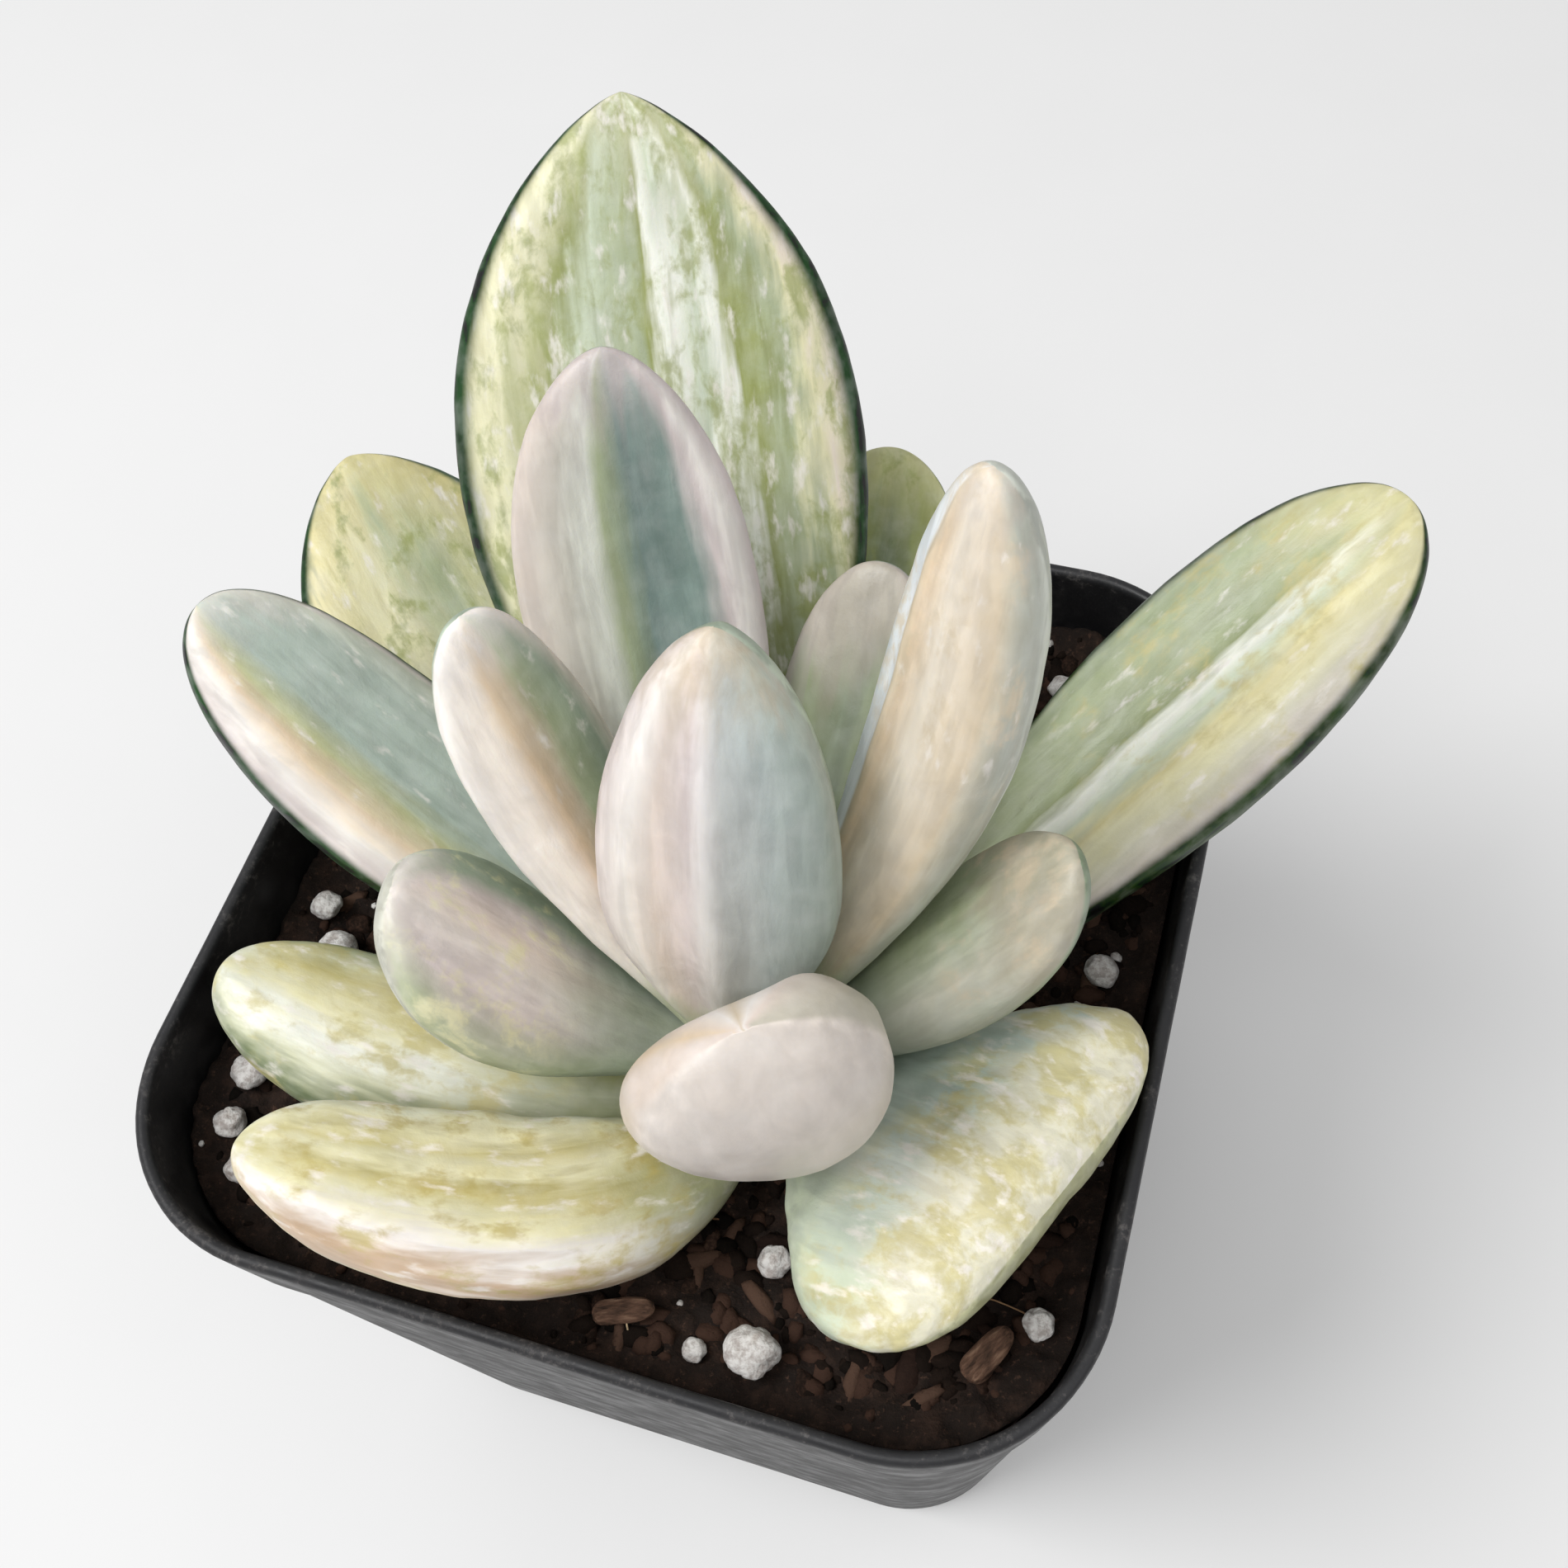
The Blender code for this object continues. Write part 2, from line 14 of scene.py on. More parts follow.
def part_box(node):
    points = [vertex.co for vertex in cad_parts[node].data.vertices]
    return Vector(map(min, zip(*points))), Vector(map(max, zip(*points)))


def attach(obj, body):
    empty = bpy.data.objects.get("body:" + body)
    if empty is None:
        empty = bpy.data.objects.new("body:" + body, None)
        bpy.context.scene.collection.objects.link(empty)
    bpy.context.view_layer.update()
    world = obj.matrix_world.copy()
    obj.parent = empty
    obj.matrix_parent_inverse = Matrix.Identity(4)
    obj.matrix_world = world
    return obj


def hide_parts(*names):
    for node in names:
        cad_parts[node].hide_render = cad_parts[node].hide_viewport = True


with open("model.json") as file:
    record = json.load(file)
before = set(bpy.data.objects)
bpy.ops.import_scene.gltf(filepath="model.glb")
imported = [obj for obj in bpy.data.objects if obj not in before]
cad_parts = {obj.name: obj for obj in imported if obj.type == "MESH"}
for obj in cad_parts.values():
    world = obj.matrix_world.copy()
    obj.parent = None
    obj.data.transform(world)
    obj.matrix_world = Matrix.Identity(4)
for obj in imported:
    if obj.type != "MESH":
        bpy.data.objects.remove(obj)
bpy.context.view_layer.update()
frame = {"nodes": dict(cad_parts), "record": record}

MM = 0.001

# ---------------------------------------------------------------- sizes, as in the CAD model
POT_WIDTH = 57.0 * MM
POT_HEIGHT = 58.0 * MM
POT_TAPER = 7.0 * MM
POT_BASE_WIDTH = POT_WIDTH - POT_TAPER
POT_WALL = 0.6 * MM
POT_FLOOR = 1.6 * MM
RIM_CORNER = 11.0 * MM
BASE_CORNER = 9.0 * MM
BAND_HEIGHT = 7.0 * MM
BAND_STEP = 0.25 * MM
HOLE_RADIUS = 2.6 * MM
HOLE_INSET = 9.5 * MM
HEADSPACE = 9.0 * MM
SOIL_DISH = 3.5 * MM
SOIL_DISH_POWER = 3.0
SOIL_Z = POT_HEIGHT - HEADSPACE
STEM = Vector((5.0 * MM, -7.0 * MM, 0.0))
STEM_FOOT_RADIUS = 4.0 * MM
STEM_HEIGHT = 8.5 * MM
GAP = 0.3 * MM
LEAF_NECK_WIDTH = 3.0 * MM
LEAF_NECK_THICK = 2.2 * MM

LEAF_NECK_REACH = 0.16
STEM_TOP_SHARE = 0.43
CUP_SPREAD = 0.5
NEAR_HANDLE = 0.33       # how far along a leaf its curve's first handle is
NEAR_SAG = 1.15
NEAR_SWING = 1.4
FAR_HANDLE = 0.70
FAR_SAG = 0.95
FAR_SWING = 1.2
WIDENING = 1.25          # how slowly a leaf widens from its neck
END_ROUND = 2.1          # how late a leaf narrows towards its tip
THICKEST = 0.5           # where along a leaf it is thickest
THINNING = 2.4           # how late a leaf thins towards its tip
THIN_EDGE = 2.1          # how round its end is, seen from the side
NECK_CAP = 0.2 * MM      # the neck's end bulges this far towards the stem
SECTION_POWER = 0.85     # 1 is an elliptical cross-section, below 1 a fuller one
SECTION_EDGE = 2.35      # how full the underside is

LEAF_STATIONS = 96
LEAF_SIDES = 72


@dataclass
class Leaf:
    """One leaf's shape: angles in degrees about the stem, lengths in millimetres."""

    name: str
    root_turn: float
    root_rise: float
    turn: float
    reach: float
    rise: float
    width: float
    thick: float
    bow: float = 3.0
    sway: float = 0.0
    widest: float = 0.6
    skew: float = 0.0
    point: float = 2.0
    roll: float = 0.0
    cup: float = 0.0
    cup_at: float = 0.0
    belly: float = 0.6
    keel: float = 2.35
    keel_at: float = 0.0
    folds: tuple = ()      # on the upper face: place across, height in mm, spread
    lumps: float = 0.12    # unevenness of the flesh, mm


@dataclass
class Look:
    """One leaf's colours: bands across it, then its tip, base and underside."""

    bands: tuple               # (place from -1 left to 1 right, colour) across the face
    back: tuple                # the underside and the thin rim seen from above; a near-black back paints shade on that rim
    tip: tuple
    base: tuple
    tip_from: float = 0.8      # where along the leaf the tip's colour starts
    base_to: float = 0.3       # where the base's colour ends
    wander: float = 0.28       # how far the bands stray sideways
    spots: tuple = (0.50, 0.46, 0.26)
    spotted: float = 0.0       # share of the face that is spotted
    spot_from: float = 0.0     # where along the leaf the spots start
    pale: float = 0.0          # share of the face with pale flecks
    seed: float = 0.0
    rim: float = -0.2          # how far up the leaf's edge the underside's colour comes, a band of painted shade where that colour is near black
    dim: float = 1.0           # overall depth of colour, less is darker
    relief: float = 1.0        # strength of the streaks and of the skin's fine relief


CREAM = (0.76, 0.73, 0.50)
STRAW = (0.72, 0.66, 0.38)
PALE = (0.88, 0.89, 0.81)
MINT = (0.60, 0.66, 0.52)
SAGE = (0.45, 0.50, 0.34)
OLIVE = (0.34, 0.37, 0.17)
KHAKI = (0.55, 0.50, 0.27)
GREY_GREEN = (0.37, 0.43, 0.35)
SLATE = (0.27, 0.34, 0.32)
PINK = (0.76, 0.67, 0.61)
LILAC = (0.68, 0.61, 0.60)
PEACH = (0.78, 0.64, 0.48)
TAN = (0.66, 0.57, 0.44)
WHITE = (0.86, 0.82, 0.78)
# the leaf's dark green edge, darkened to near black as painted shade where the edge turns away
# from the light
EDGE_SHADE_GREEN = (0.060, 0.090, 0.060)
DULL_GREEN = (0.24, 0.28, 0.18)
UNDERSIDE = (0.28, 0.35, 0.26)

LEAVES = (
    (
        Leaf("leaf_back_tall", 114, 4.2, 113, 43, 29, 24, 5.5, sway=-0.8, point=1.3,
             cup=0.5, folds=((-0.8, 0.3, 0.12), (0.8, 0.3, 0.12), (0.1, 0.2, 0.1))),
        Look(
            (
                (-1.0, CREAM), (-0.72, (0.78, 0.76, 0.54)), (-0.48, OLIVE), (-0.3, MINT),
                (-0.08, SAGE), (0.02, OLIVE), (0.12, PALE), (0.26, MINT), (0.38, PALE),
                (0.5, OLIVE), (0.68, SAGE), (0.84, CREAM), (1.0, PINK),
            ),
            EDGE_SHADE_GREEN, (0.70, 0.70, 0.50), GREY_GREEN, tip_from=0.84, base_to=0.35, wander=0.22,
            spots=OLIVE, spotted=0.5, pale=0.35, seed=1.0, rim=0.45, dim=0.90,
        ),
    ),
    (
        Leaf("leaf_back_inner", 97, 8.5, 118, 24.3, 28.7, 13.0, 4.2, sway=-1.2, point=1.6,
             cup=0.8, cup_at=0.25, folds=((-0.55, 0.45, 0.2), (0.82, 0.3, 0.1))),
        Look(
            (
                (-1.0, PINK), (-0.6, (0.62, 0.59, 0.53)), (-0.36, PALE), (-0.2, SAGE),
                (0.05, SLATE), (0.5, (0.33, 0.41, 0.38)), (0.7, LILAC), (0.85, WHITE),
                (1.0, LILAC),
            ),
            GREY_GREEN, LILAC, SAGE, tip_from=0.86, base_to=0.3, wander=0.12, seed=2.0, dim=0.82,
        ),
    ),
    (
        Leaf("leaf_centre", -106, 9.5, 96, 6.8, 28.5, 12.8, 7, bow=-0.8, widest=0.42,
             skew=0.04, point=1.45, belly=0.62, keel=1.5, keel_at=0.15,
             folds=((0.14, 0.9, 0.2), (-0.6, 0.5, 0.25))),
        Look(
            (
                # the white band at -0.62, over the fold at -0.6, is a painted highlight on that
                # ridge
                (-1.0, LILAC), (-0.62, WHITE), (-0.4, PINK), (-0.1, LILAC),
                (0.06, (0.73, 0.70, 0.69)), (0.26, (0.53, 0.55, 0.54)),
                (0.6, (0.46, 0.51, 0.50)), (1.0, (0.42, 0.48, 0.44)),
            ),
            GREY_GREEN, TAN, SAGE, tip_from=0.82, base_to=0.22, wander=0.07, seed=3.0, dim=0.92,
        ),
    ),
    (
        Leaf("leaf_left_back", 150, 1.8, 142.3, 45, 7.5, 18, 4.2, bow=2, sway=-0.8,
             point=1.5, folds=((-0.7, 0.25, 0.2), (0.2, -0.4, 0.5))),
        Look(
            (
                (-1.0, (0.24, 0.30, 0.22)), (-0.85, STRAW), (-0.3, CREAM), (0.1, SAGE),
                (0.6, (0.62, 0.59, 0.36)), (1.0, KHAKI),
            ),
            EDGE_SHADE_GREEN, STRAW, GREY_GREEN, tip_from=0.78, base_to=0.5, wander=0.3, spots=OLIVE,
            spotted=0.25, pale=0.15, seed=4.0, rim=0.45, dim=0.90,
        ),
    ),
    (
        Leaf("leaf_left_long", 170, 4.4, 165.5, 33.5, 17.7, 11.8, 5.2, bow=3.1, cup=0.5,
             cup_at=0.3, folds=((-0.6, 0.4, 0.22), (0.85, 0.2, 0.1))),
        Look(
            (
                # the white band at -0.75 is a painted highlight on the raised left margin
                (-1.0, LILAC), (-0.75, WHITE), (-0.52, PEACH), (-0.3, (0.56, 0.57, 0.36)),
                (-0.05, (0.44, 0.51, 0.46)), (0.3, (0.48, 0.55, 0.50)), (0.6, (0.44, 0.50, 0.45)),
                (0.85, (0.62, 0.64, 0.56)), (1.0, LILAC),
            ),
            EDGE_SHADE_GREEN, (0.70, 0.68, 0.63), SAGE, tip_from=0.86, base_to=0.3, wander=0.14, pale=0.1,
            seed=5.0, rim=0.35,
        ),
    ),
    (
        Leaf("leaf_left_inner", -163, 8.4, 157, 14, 27, 8, 4, cup=0.3, cup_at=0.35,
             folds=((-0.35, 0.4, 0.25),)),
        Look(
            (
                (-1.0, WHITE), (-0.5, (0.84, 0.77, 0.69)), (-0.22, PEACH), (0.02, TAN),
                (0.25, SAGE), (0.7, GREY_GREEN), (1.0, PINK),
            ),
            GREY_GREEN, WHITE, SAGE, tip_from=0.84, base_to=0.25, wander=0.16, pale=0.15, seed=6.0,
        ),
    ),
    (
        Leaf("leaf_left_short", -142, 5.8, -165, 16.2, 16, 10.4, 5, bow=3.4,
             folds=((-0.2, 0.35, 0.35),)),
        Look(
            (
                (-1.0, SAGE), (-0.6, LILAC), (-0.2, (0.80, 0.75, 0.71)), (0.15, PINK),
                (0.45, LILAC), (0.7, GREY_GREEN), (1.0, (0.36, 0.42, 0.36)),
            ),
            (0.52, 0.52, 0.46), (0.74, 0.69, 0.65), GREY_GREEN, tip_from=0.8, base_to=0.62,
            wander=0.16, spots=CREAM, spotted=0.25, spot_from=0.45, seed=7.0,
        ),
    ),
    (
        Leaf("leaf_left_low", -130, 1.8, -167, 30, 4, 10, 5.5, bow=1, sway=-2, lumps=0.2),
        Look(
            (
                (-1.0, DULL_GREEN), (-0.7, (0.66, 0.67, 0.50)), (-0.3, PALE), (0.05, CREAM),
                (0.4, KHAKI), (0.75, (0.62, 0.62, 0.44)), (1.0, SAGE),
            ),
            DULL_GREEN, (0.72, 0.73, 0.60), (0.30, 0.33, 0.20), tip_from=0.86, base_to=0.6,
            wander=0.35, spots=KHAKI, spotted=0.5, spot_from=0.3, pale=0.3, seed=8.0,
        ),
    ),
    (
        Leaf("leaf_front_low", -78, 2.6, -142, 27.2, 8.4, 10.2, 6, bow=-0.6, sway=-4.6,
             widest=0.5, skew=0.14, lumps=0.3, folds=((-0.6, 0.3, 0.15),)),
        Look(
            (
                (-1.0, (0.60, 0.46, 0.34)), (-0.75, WHITE), (-0.45, CREAM), (-0.1, KHAKI),
                (0.12, CREAM), (0.4, (0.60, 0.55, 0.31)), (0.7, CREAM),
                (1.0, (0.68, 0.71, 0.62)),
            ),
            (0.50, 0.44, 0.30), CREAM, (0.32, 0.34, 0.21), tip_from=0.9, base_to=0.45, wander=0.32,
            spots=(0.48, 0.41, 0.19), spotted=0.35, spot_from=0.15, pale=0.3, seed=9.0,
        ),
    ),
    (
        Leaf("leaf_front_stub", -59, 6.3, -61, 8.9, 19.4, 13.2, 8.4, bow=2.2, widest=0.68,
             point=2.4, roll=-9, belly=0.6, keel=1.8, keel_at=-0.25, lumps=0.15,
             folds=((-0.7, 0.9, 0.3),)),
        Look(
            (
                (-1.0, (0.60, 0.57, 0.49)), (-0.55, PINK), (-0.25, WHITE), (0.0, TAN),
                (0.2, WHITE), (0.6, (0.78, 0.68, 0.59)), (0.85, PEACH), (1.0, PINK),
            ),
            (0.72, 0.66, 0.61), PINK, GREY_GREEN, tip_from=0.97, base_to=0.5, wander=0.10,
            seed=10.0, dim=0.84, relief=0.25,
        ),
    ),
    (
        Leaf("leaf_front_wide", -33, 2.2, -20, 20.6, 4.6, 24, 7.5, bow=0.6, widest=0.73,
             skew=-0.04, point=3.2, roll=10, belly=0.52, lumps=0.45),
        Look(
            (
                (-1.0, (0.66, 0.70, 0.64)), (-0.55, (0.47, 0.55, 0.50)),
                (-0.1, (0.52, 0.60, 0.55)), (0.3, (0.70, 0.75, 0.70)),
                (0.65, (0.52, 0.58, 0.50)), (1.0, MINT),
            ),
            (0.40, 0.40, 0.26), (0.77, 0.73, 0.58), GREY_GREEN, tip_from=0.62, base_to=0.4,
            wander=0.3, spots=KHAKI, spotted=0.6, spot_from=0.55, pale=0.5, seed=11.0,
        ),
    ),
    (
        Leaf("leaf_right_tall", 30, 8.5, 52.5, 16.8, 34.6, 8.2, 5.8, sway=1.3, cup=0.4,
             cup_at=-0.55, folds=((-0.5, 0.5, 0.12), (-0.8, -0.3, 0.2))),
        Look(
            (
                # the blue-white stripe at -0.66 is a painted highlight where the left side catches
                # the light, and the thin tan band at -0.56 a painted shade line
                (-1.0, (0.60, 0.65, 0.66)), (-0.66, (0.84, 0.87, 0.90)), (-0.56, TAN),
                (-0.4, PEACH), (0.0, (0.80, 0.73, 0.63)), (0.4, (0.75, 0.67, 0.56)),
                (0.75, TAN), (1.0, (0.50, 0.52, 0.46)),
            ),
            (0.50, 0.52, 0.47), (0.70, 0.64, 0.57), SAGE, tip_from=0.88, base_to=0.22, wander=0.07,
            spots=TAN, spotted=0.3, spot_from=0.55, pale=0.1, seed=12.0, dim=0.95,
        ),
    ),
    (
        Leaf("leaf_right_short", -1, 5.6, 21, 18, 15, 8.6, 4.3, bow=1.6),
        Look(
            (
                (-1.0, (0.36, 0.42, 0.30)), (-0.3, SAGE), (0.2, (0.54, 0.57, 0.45)),
                (0.6, (0.62, 0.61, 0.52)), (1.0, (0.50, 0.52, 0.44)),
            ),
            (0.30, 0.36, 0.26), (0.56, 0.52, 0.42), GREY_GREEN, tip_from=0.62, base_to=0.45,
            wander=0.2, spots=TAN, spotted=0.35, spot_from=0.55, seed=13.0, dim=0.78,
        ),
    ),
    (
        Leaf("leaf_right_long", 24, 2.2, 48, 44.3, 14.8, 13.5, 5.3, bow=2.3, sway=-0.4,
             widest=0.65, folds=((-0.25, -0.35, 0.3), (0.42, 0.25, 0.15))),
        Look(
            (
                (-1.0, (0.44, 0.49, 0.37)), (-0.7, SAGE), (-0.45, (0.40, 0.44, 0.29)),
                (-0.25, SAGE), (-0.1, (0.36, 0.40, 0.24)), (0.04, PALE), (0.2, MINT),
                (0.38, STRAW), (0.55, CREAM), (0.75, (0.62, 0.60, 0.48)), (1.0, LILAC),
            ),
            # near-black back: painted shade along the leaf's edge
            (0.07, 0.09, 0.06), (0.70, 0.66, 0.40), GREY_GREEN, tip_from=0.78, base_to=0.3,
            wander=0.17, spots=KHAKI, spotted=0.25, spot_from=0.5, pale=0.2, seed=14.0, rim=0.45,
            dim=0.88,
        ),
    ),
    (
        Leaf("leaf_back_right", 62, 6, 82, 21.3, 16, 9, 4, bow=2),
        Look(
            (
                (-1.0, LILAC), (-0.6, SAGE), (0.0, (0.40, 0.45, 0.35)), (0.5, SAGE),
                (1.0, LILAC),
            ),
            (0.30, 0.34, 0.26), (0.66, 0.60, 0.53), GREY_GREEN, tip_from=0.66, base_to=0.4,
            wander=0.25, seed=15.0, dim=0.68,
        ),
    ),
    (
        Leaf("leaf_back_low", 70, 2, 92, 38, 5.5, 12.5, 4.2, bow=1.5),
        Look(
            (
                (-1.0, DULL_GREEN), (-0.4, OLIVE), (0.1, DULL_GREEN), (0.6, OLIVE),
                (1.0, (0.56, 0.57, 0.38)),
            ),
            EDGE_SHADE_GREEN, (0.58, 0.57, 0.34), DULL_GREEN, tip_from=0.8, base_to=0.4, wander=0.3,
            spots=OLIVE, spotted=0.3, seed=16.0, rim=0.2,
        ),
    ),
)

# Widths of the perlite grains in millimetres; their places come from the CAD.
GRAIN_SIZES = (2.0, 2.6, 1.5, 2.4, 2.0, 1.8, 3.0, 1.4, 1.8, 2.0, 2.2, 2.0, 2.1, 2.4, 2.0)

# Bark chips: X, Y, length, width and turn in degrees, lengths in millimetres.
CHIPS = (
    (22.6, -20.8, 3.6, 1.8, 60.0),
    (2.5, -24.0, 3.6, 1.6, 20.0),
    (-23.5, 12.5, 4.6, 1.8, 80.0),
    (9.5, 23.0, 5.0, 2.0, 10.0),
    (24.0, -6.5, 4.2, 1.8, 85.0),
)


# ---------------------------------------------------------------- shader building
class Shader:
    """A material under construction: short calls that add and link nodes."""

    def __init__(self, name, roughness, specular=0.5):
        self.material = bpy.data.materials.new(name)
        self.material.use_nodes = True
        self.tree = self.material.node_tree
        self.surface = self.tree.nodes["Principled BSDF"]
        self.set("Roughness", roughness)
        self.set("Specular IOR Level", specular)

    def set(self, socket, value):
        self.surface.inputs[socket].default_value = value

    def add(self, kind, **settings):
        node = self.tree.nodes.new(kind)
        for key, value in settings.items():
            setattr(node, key, value)
        return node

    def feed(self, socket, value):
        """Link an output to a socket, or set the socket to a plain value."""
        if isinstance(value, bpy.types.NodeSocket):
            self.tree.links.new(value, socket)
        elif isinstance(value, tuple) and len(value) == 3 and socket.type == "RGBA":
            socket.default_value = (*value, 1.0)
        else:
            socket.default_value = value

    def attribute(self, name, output="Fac"):
        return self.add("ShaderNodeAttribute", attribute_name=name).outputs[output]

    def coordinates(self):
        return self.add("ShaderNodeTexCoord").outputs["Object"]

    def scaled(self, vector, scale, offset=(0.0, 0.0, 0.0)):
        node = self.add("ShaderNodeMapping")
        self.feed(node.inputs["Vector"], vector)
        node.inputs["Scale"].default_value = scale
        node.inputs["Location"].default_value = offset
        return node.outputs["Vector"]

    def millimetres(self):
        return self.scaled(self.coordinates(), (1000.0, 1000.0, 1000.0))

    def noise(self, vector, scale, detail=4.0, roughness=0.55, distortion=0.0):
        node = self.add("ShaderNodeTexNoise")
        self.feed(node.inputs["Vector"], vector)
        node.inputs["Scale"].default_value = scale
        node.inputs["Detail"].default_value = detail
        node.inputs["Roughness"].default_value = roughness
        node.inputs["Distortion"].default_value = distortion
        return node.outputs["Fac"]

    def math(self, operation, first, second=0.0, third=0.0):
        node = self.add("ShaderNodeMath", operation=operation)
        for socket, value in zip(node.inputs, (first, second, third)):
            self.feed(socket, value)
        return node.outputs["Value"]

    def step(self, value, low, high, to_low=0.0, to_high=1.0):
        """A smooth change from to_low to to_high as value goes from low to high."""
        node = self.add("ShaderNodeMapRange", interpolation_type="SMOOTHSTEP")
        for name, entry in (
            ("Value", value),
            ("From Min", low),
            ("From Max", high),
            ("To Min", to_low),
            ("To Max", to_high),
        ):
            self.feed(node.inputs[name], entry)
        return node.outputs["Result"]

    def mix(self, share, first, second, blend="MIX"):
        node = self.add("ShaderNodeMix", data_type="RGBA", blend_type=blend)
        self.feed(node.inputs[0], share)
        self.feed(node.inputs[6], first)
        self.feed(node.inputs[7], second)
        return node.outputs[2]

    def contrast(self, colour, amount):
        node = self.add("ShaderNodeBrightContrast")
        self.feed(node.inputs["Color"], colour)
        node.inputs["Contrast"].default_value = amount
        return node.outputs["Color"]

    def ramp(self, value, *stops):
        node = self.add("ShaderNodeValToRGB")
        self.feed(node.inputs["Fac"], value)
        elements = node.color_ramp.elements
        while len(elements) < len(stops):
            elements.new(1.0)
        for element, (place, colour) in zip(elements, stops):
            element.position = place
            element.color = (*colour, 1.0)
        return node.outputs["Color"]

    def bump(self, height, distance, strength=1.0, below=None):
        node = self.add("ShaderNodeBump")
        self.feed(node.inputs["Height"], height)
        node.inputs["Distance"].default_value = distance
        node.inputs["Strength"].default_value = strength
        if below is not None:
            self.feed(node.inputs["Normal"], below)
        return node.outputs["Normal"]

    def finish(self, colour, normal=None, roughness=None):
        self.feed(self.surface.inputs["Base Color"], colour)
        if normal is not None:
            self.feed(self.surface.inputs["Normal"], normal)
        if roughness is not None:
            self.feed(self.surface.inputs["Roughness"], roughness)
        return self.material


# ---------------------------------------------------------------- mesh helpers
def ease(value):
    value = np.clip(value, 0.0, 1.0)
    return value * value * (3.0 - 2.0 * value)


def make_mesh(name, points, faces, smooth=True):
    mesh = bpy.data.meshes.new(name)
    mesh.from_pydata([tuple(point) for point in points], [], [tuple(face) for face in faces])
    if smooth:
        mesh.shade_smooth()
    mesh.update()
    return mesh


def add_floats(mesh, name, values):
    attribute = mesh.attributes.new(name, "FLOAT", "POINT")
    attribute.data.foreach_set("value", np.asarray(values, np.float32).ravel())


def add_vectors(mesh, name, values):
    attribute = mesh.attributes.new(name, "FLOAT_VECTOR", "POINT")
    attribute.data.foreach_set("vector", np.asarray(values, np.float32).ravel())


def add_piece(name, mesh, material, slot_name, *replaced):
    """Put a mesh in the scene as a piece that rides the root body."""
    mesh.materials.clear()
    mesh.materials.append(material)
    piece = bpy.data.objects.new(name, mesh)
    bpy.context.scene.collection.objects.link(piece)
    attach(piece, "root")
    if replaced:
        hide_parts(*replaced)
    return piece


def loft_faces(rings, sides):
    """Quads between rings of points, then a fan at each end: first point, last point."""
    faces = []
    for ring in range(rings - 1):
        start = ring * sides
        for i in range(sides):
            j = (i + 1) % sides
            faces.append((start + i, start + j, start + sides + j, start + sides + i))
    first = rings * sides
    last = first + 1
    end = (rings - 1) * sides
    for i in range(sides):
        j = (i + 1) % sides
        faces.append((first, j, i))
        faces.append((last, end + i, end + j))
    return faces


# ---------------------------------------------------------------- leaves
def stem_radius(rise):
    share = min(max(rise / STEM_HEIGHT, 0.0), 1.0)
    top = LEAF_NECK_WIDTH * STEM_TOP_SHARE
    return STEM_FOOT_RADIUS + (top - STEM_FOOT_RADIUS) * share


def leaf_spine(leaf):
    """The four control points of the curve along the middle of a leaf."""
    root_angle = math.radians(leaf.root_turn)
    tip_angle = math.radians(leaf.turn)
    root_rise = leaf.root_rise * MM
    root_reach = stem_radius(root_rise) + GAP + LEAF_NECK_WIDTH * LEAF_NECK_REACH
    root = STEM + Vector((math.cos(root_angle), math.sin(root_angle), 0.0)) * root_reach
    root.z = SOIL_Z + root_rise
    tip = STEM + Vector((math.cos(tip_angle), math.sin(tip_angle), 0.0)) * leaf.reach * MM
    tip.z = POT_HEIGHT + leaf.rise * MM
    chord = tip - root
    side = chord.cross(Vector((0.0, 0.0, 1.0))).normalized()
    lift = side.cross(chord).normalized()
    sag = lift * leaf.bow * MM
    swing = side * leaf.sway * MM
    near = root + chord * NEAR_HANDLE - sag * NEAR_SAG + swing * NEAR_SWING
    far = root + chord * FAR_HANDLE - sag * FAR_SAG + swing * FAR_SWING
    return [np.array(point) for point in (root, near, far, tip)], np.array(side)


def leaf_half_width(leaf, share, widest):
    full = leaf.width * MM / 2.0
    neck = min(LEAF_NECK_WIDTH / 2.0, full)
    rise = np.sin(math.pi / 2 * np.clip(share / widest, 0, 1)) ** WIDENING
    inner = neck + (full - neck) * rise
    beyond = np.clip((share - widest) / (1.0 - widest), 0.0, 1.0)
    outer = full * (1.0 - beyond**END_ROUND) ** (1.0 / leaf.point)
    return np.where(share <= widest, inner, outer)


def leaf_thickness(leaf, share):
    full = leaf.thick * MM
    neck = min(LEAF_NECK_THICK, full)
    inner = neck + (full - neck) * np.sin(math.pi / 2 * np.clip(share / THICKEST, 0, 1))
    beyond = np.clip((share - THICKEST) / (1.0 - THICKEST), 0.0, 1.0)
    outer = full * (1.0 - beyond**THINNING) ** (1.0 / THIN_EDGE)
    return np.where(share <= THICKEST, inner, outer)


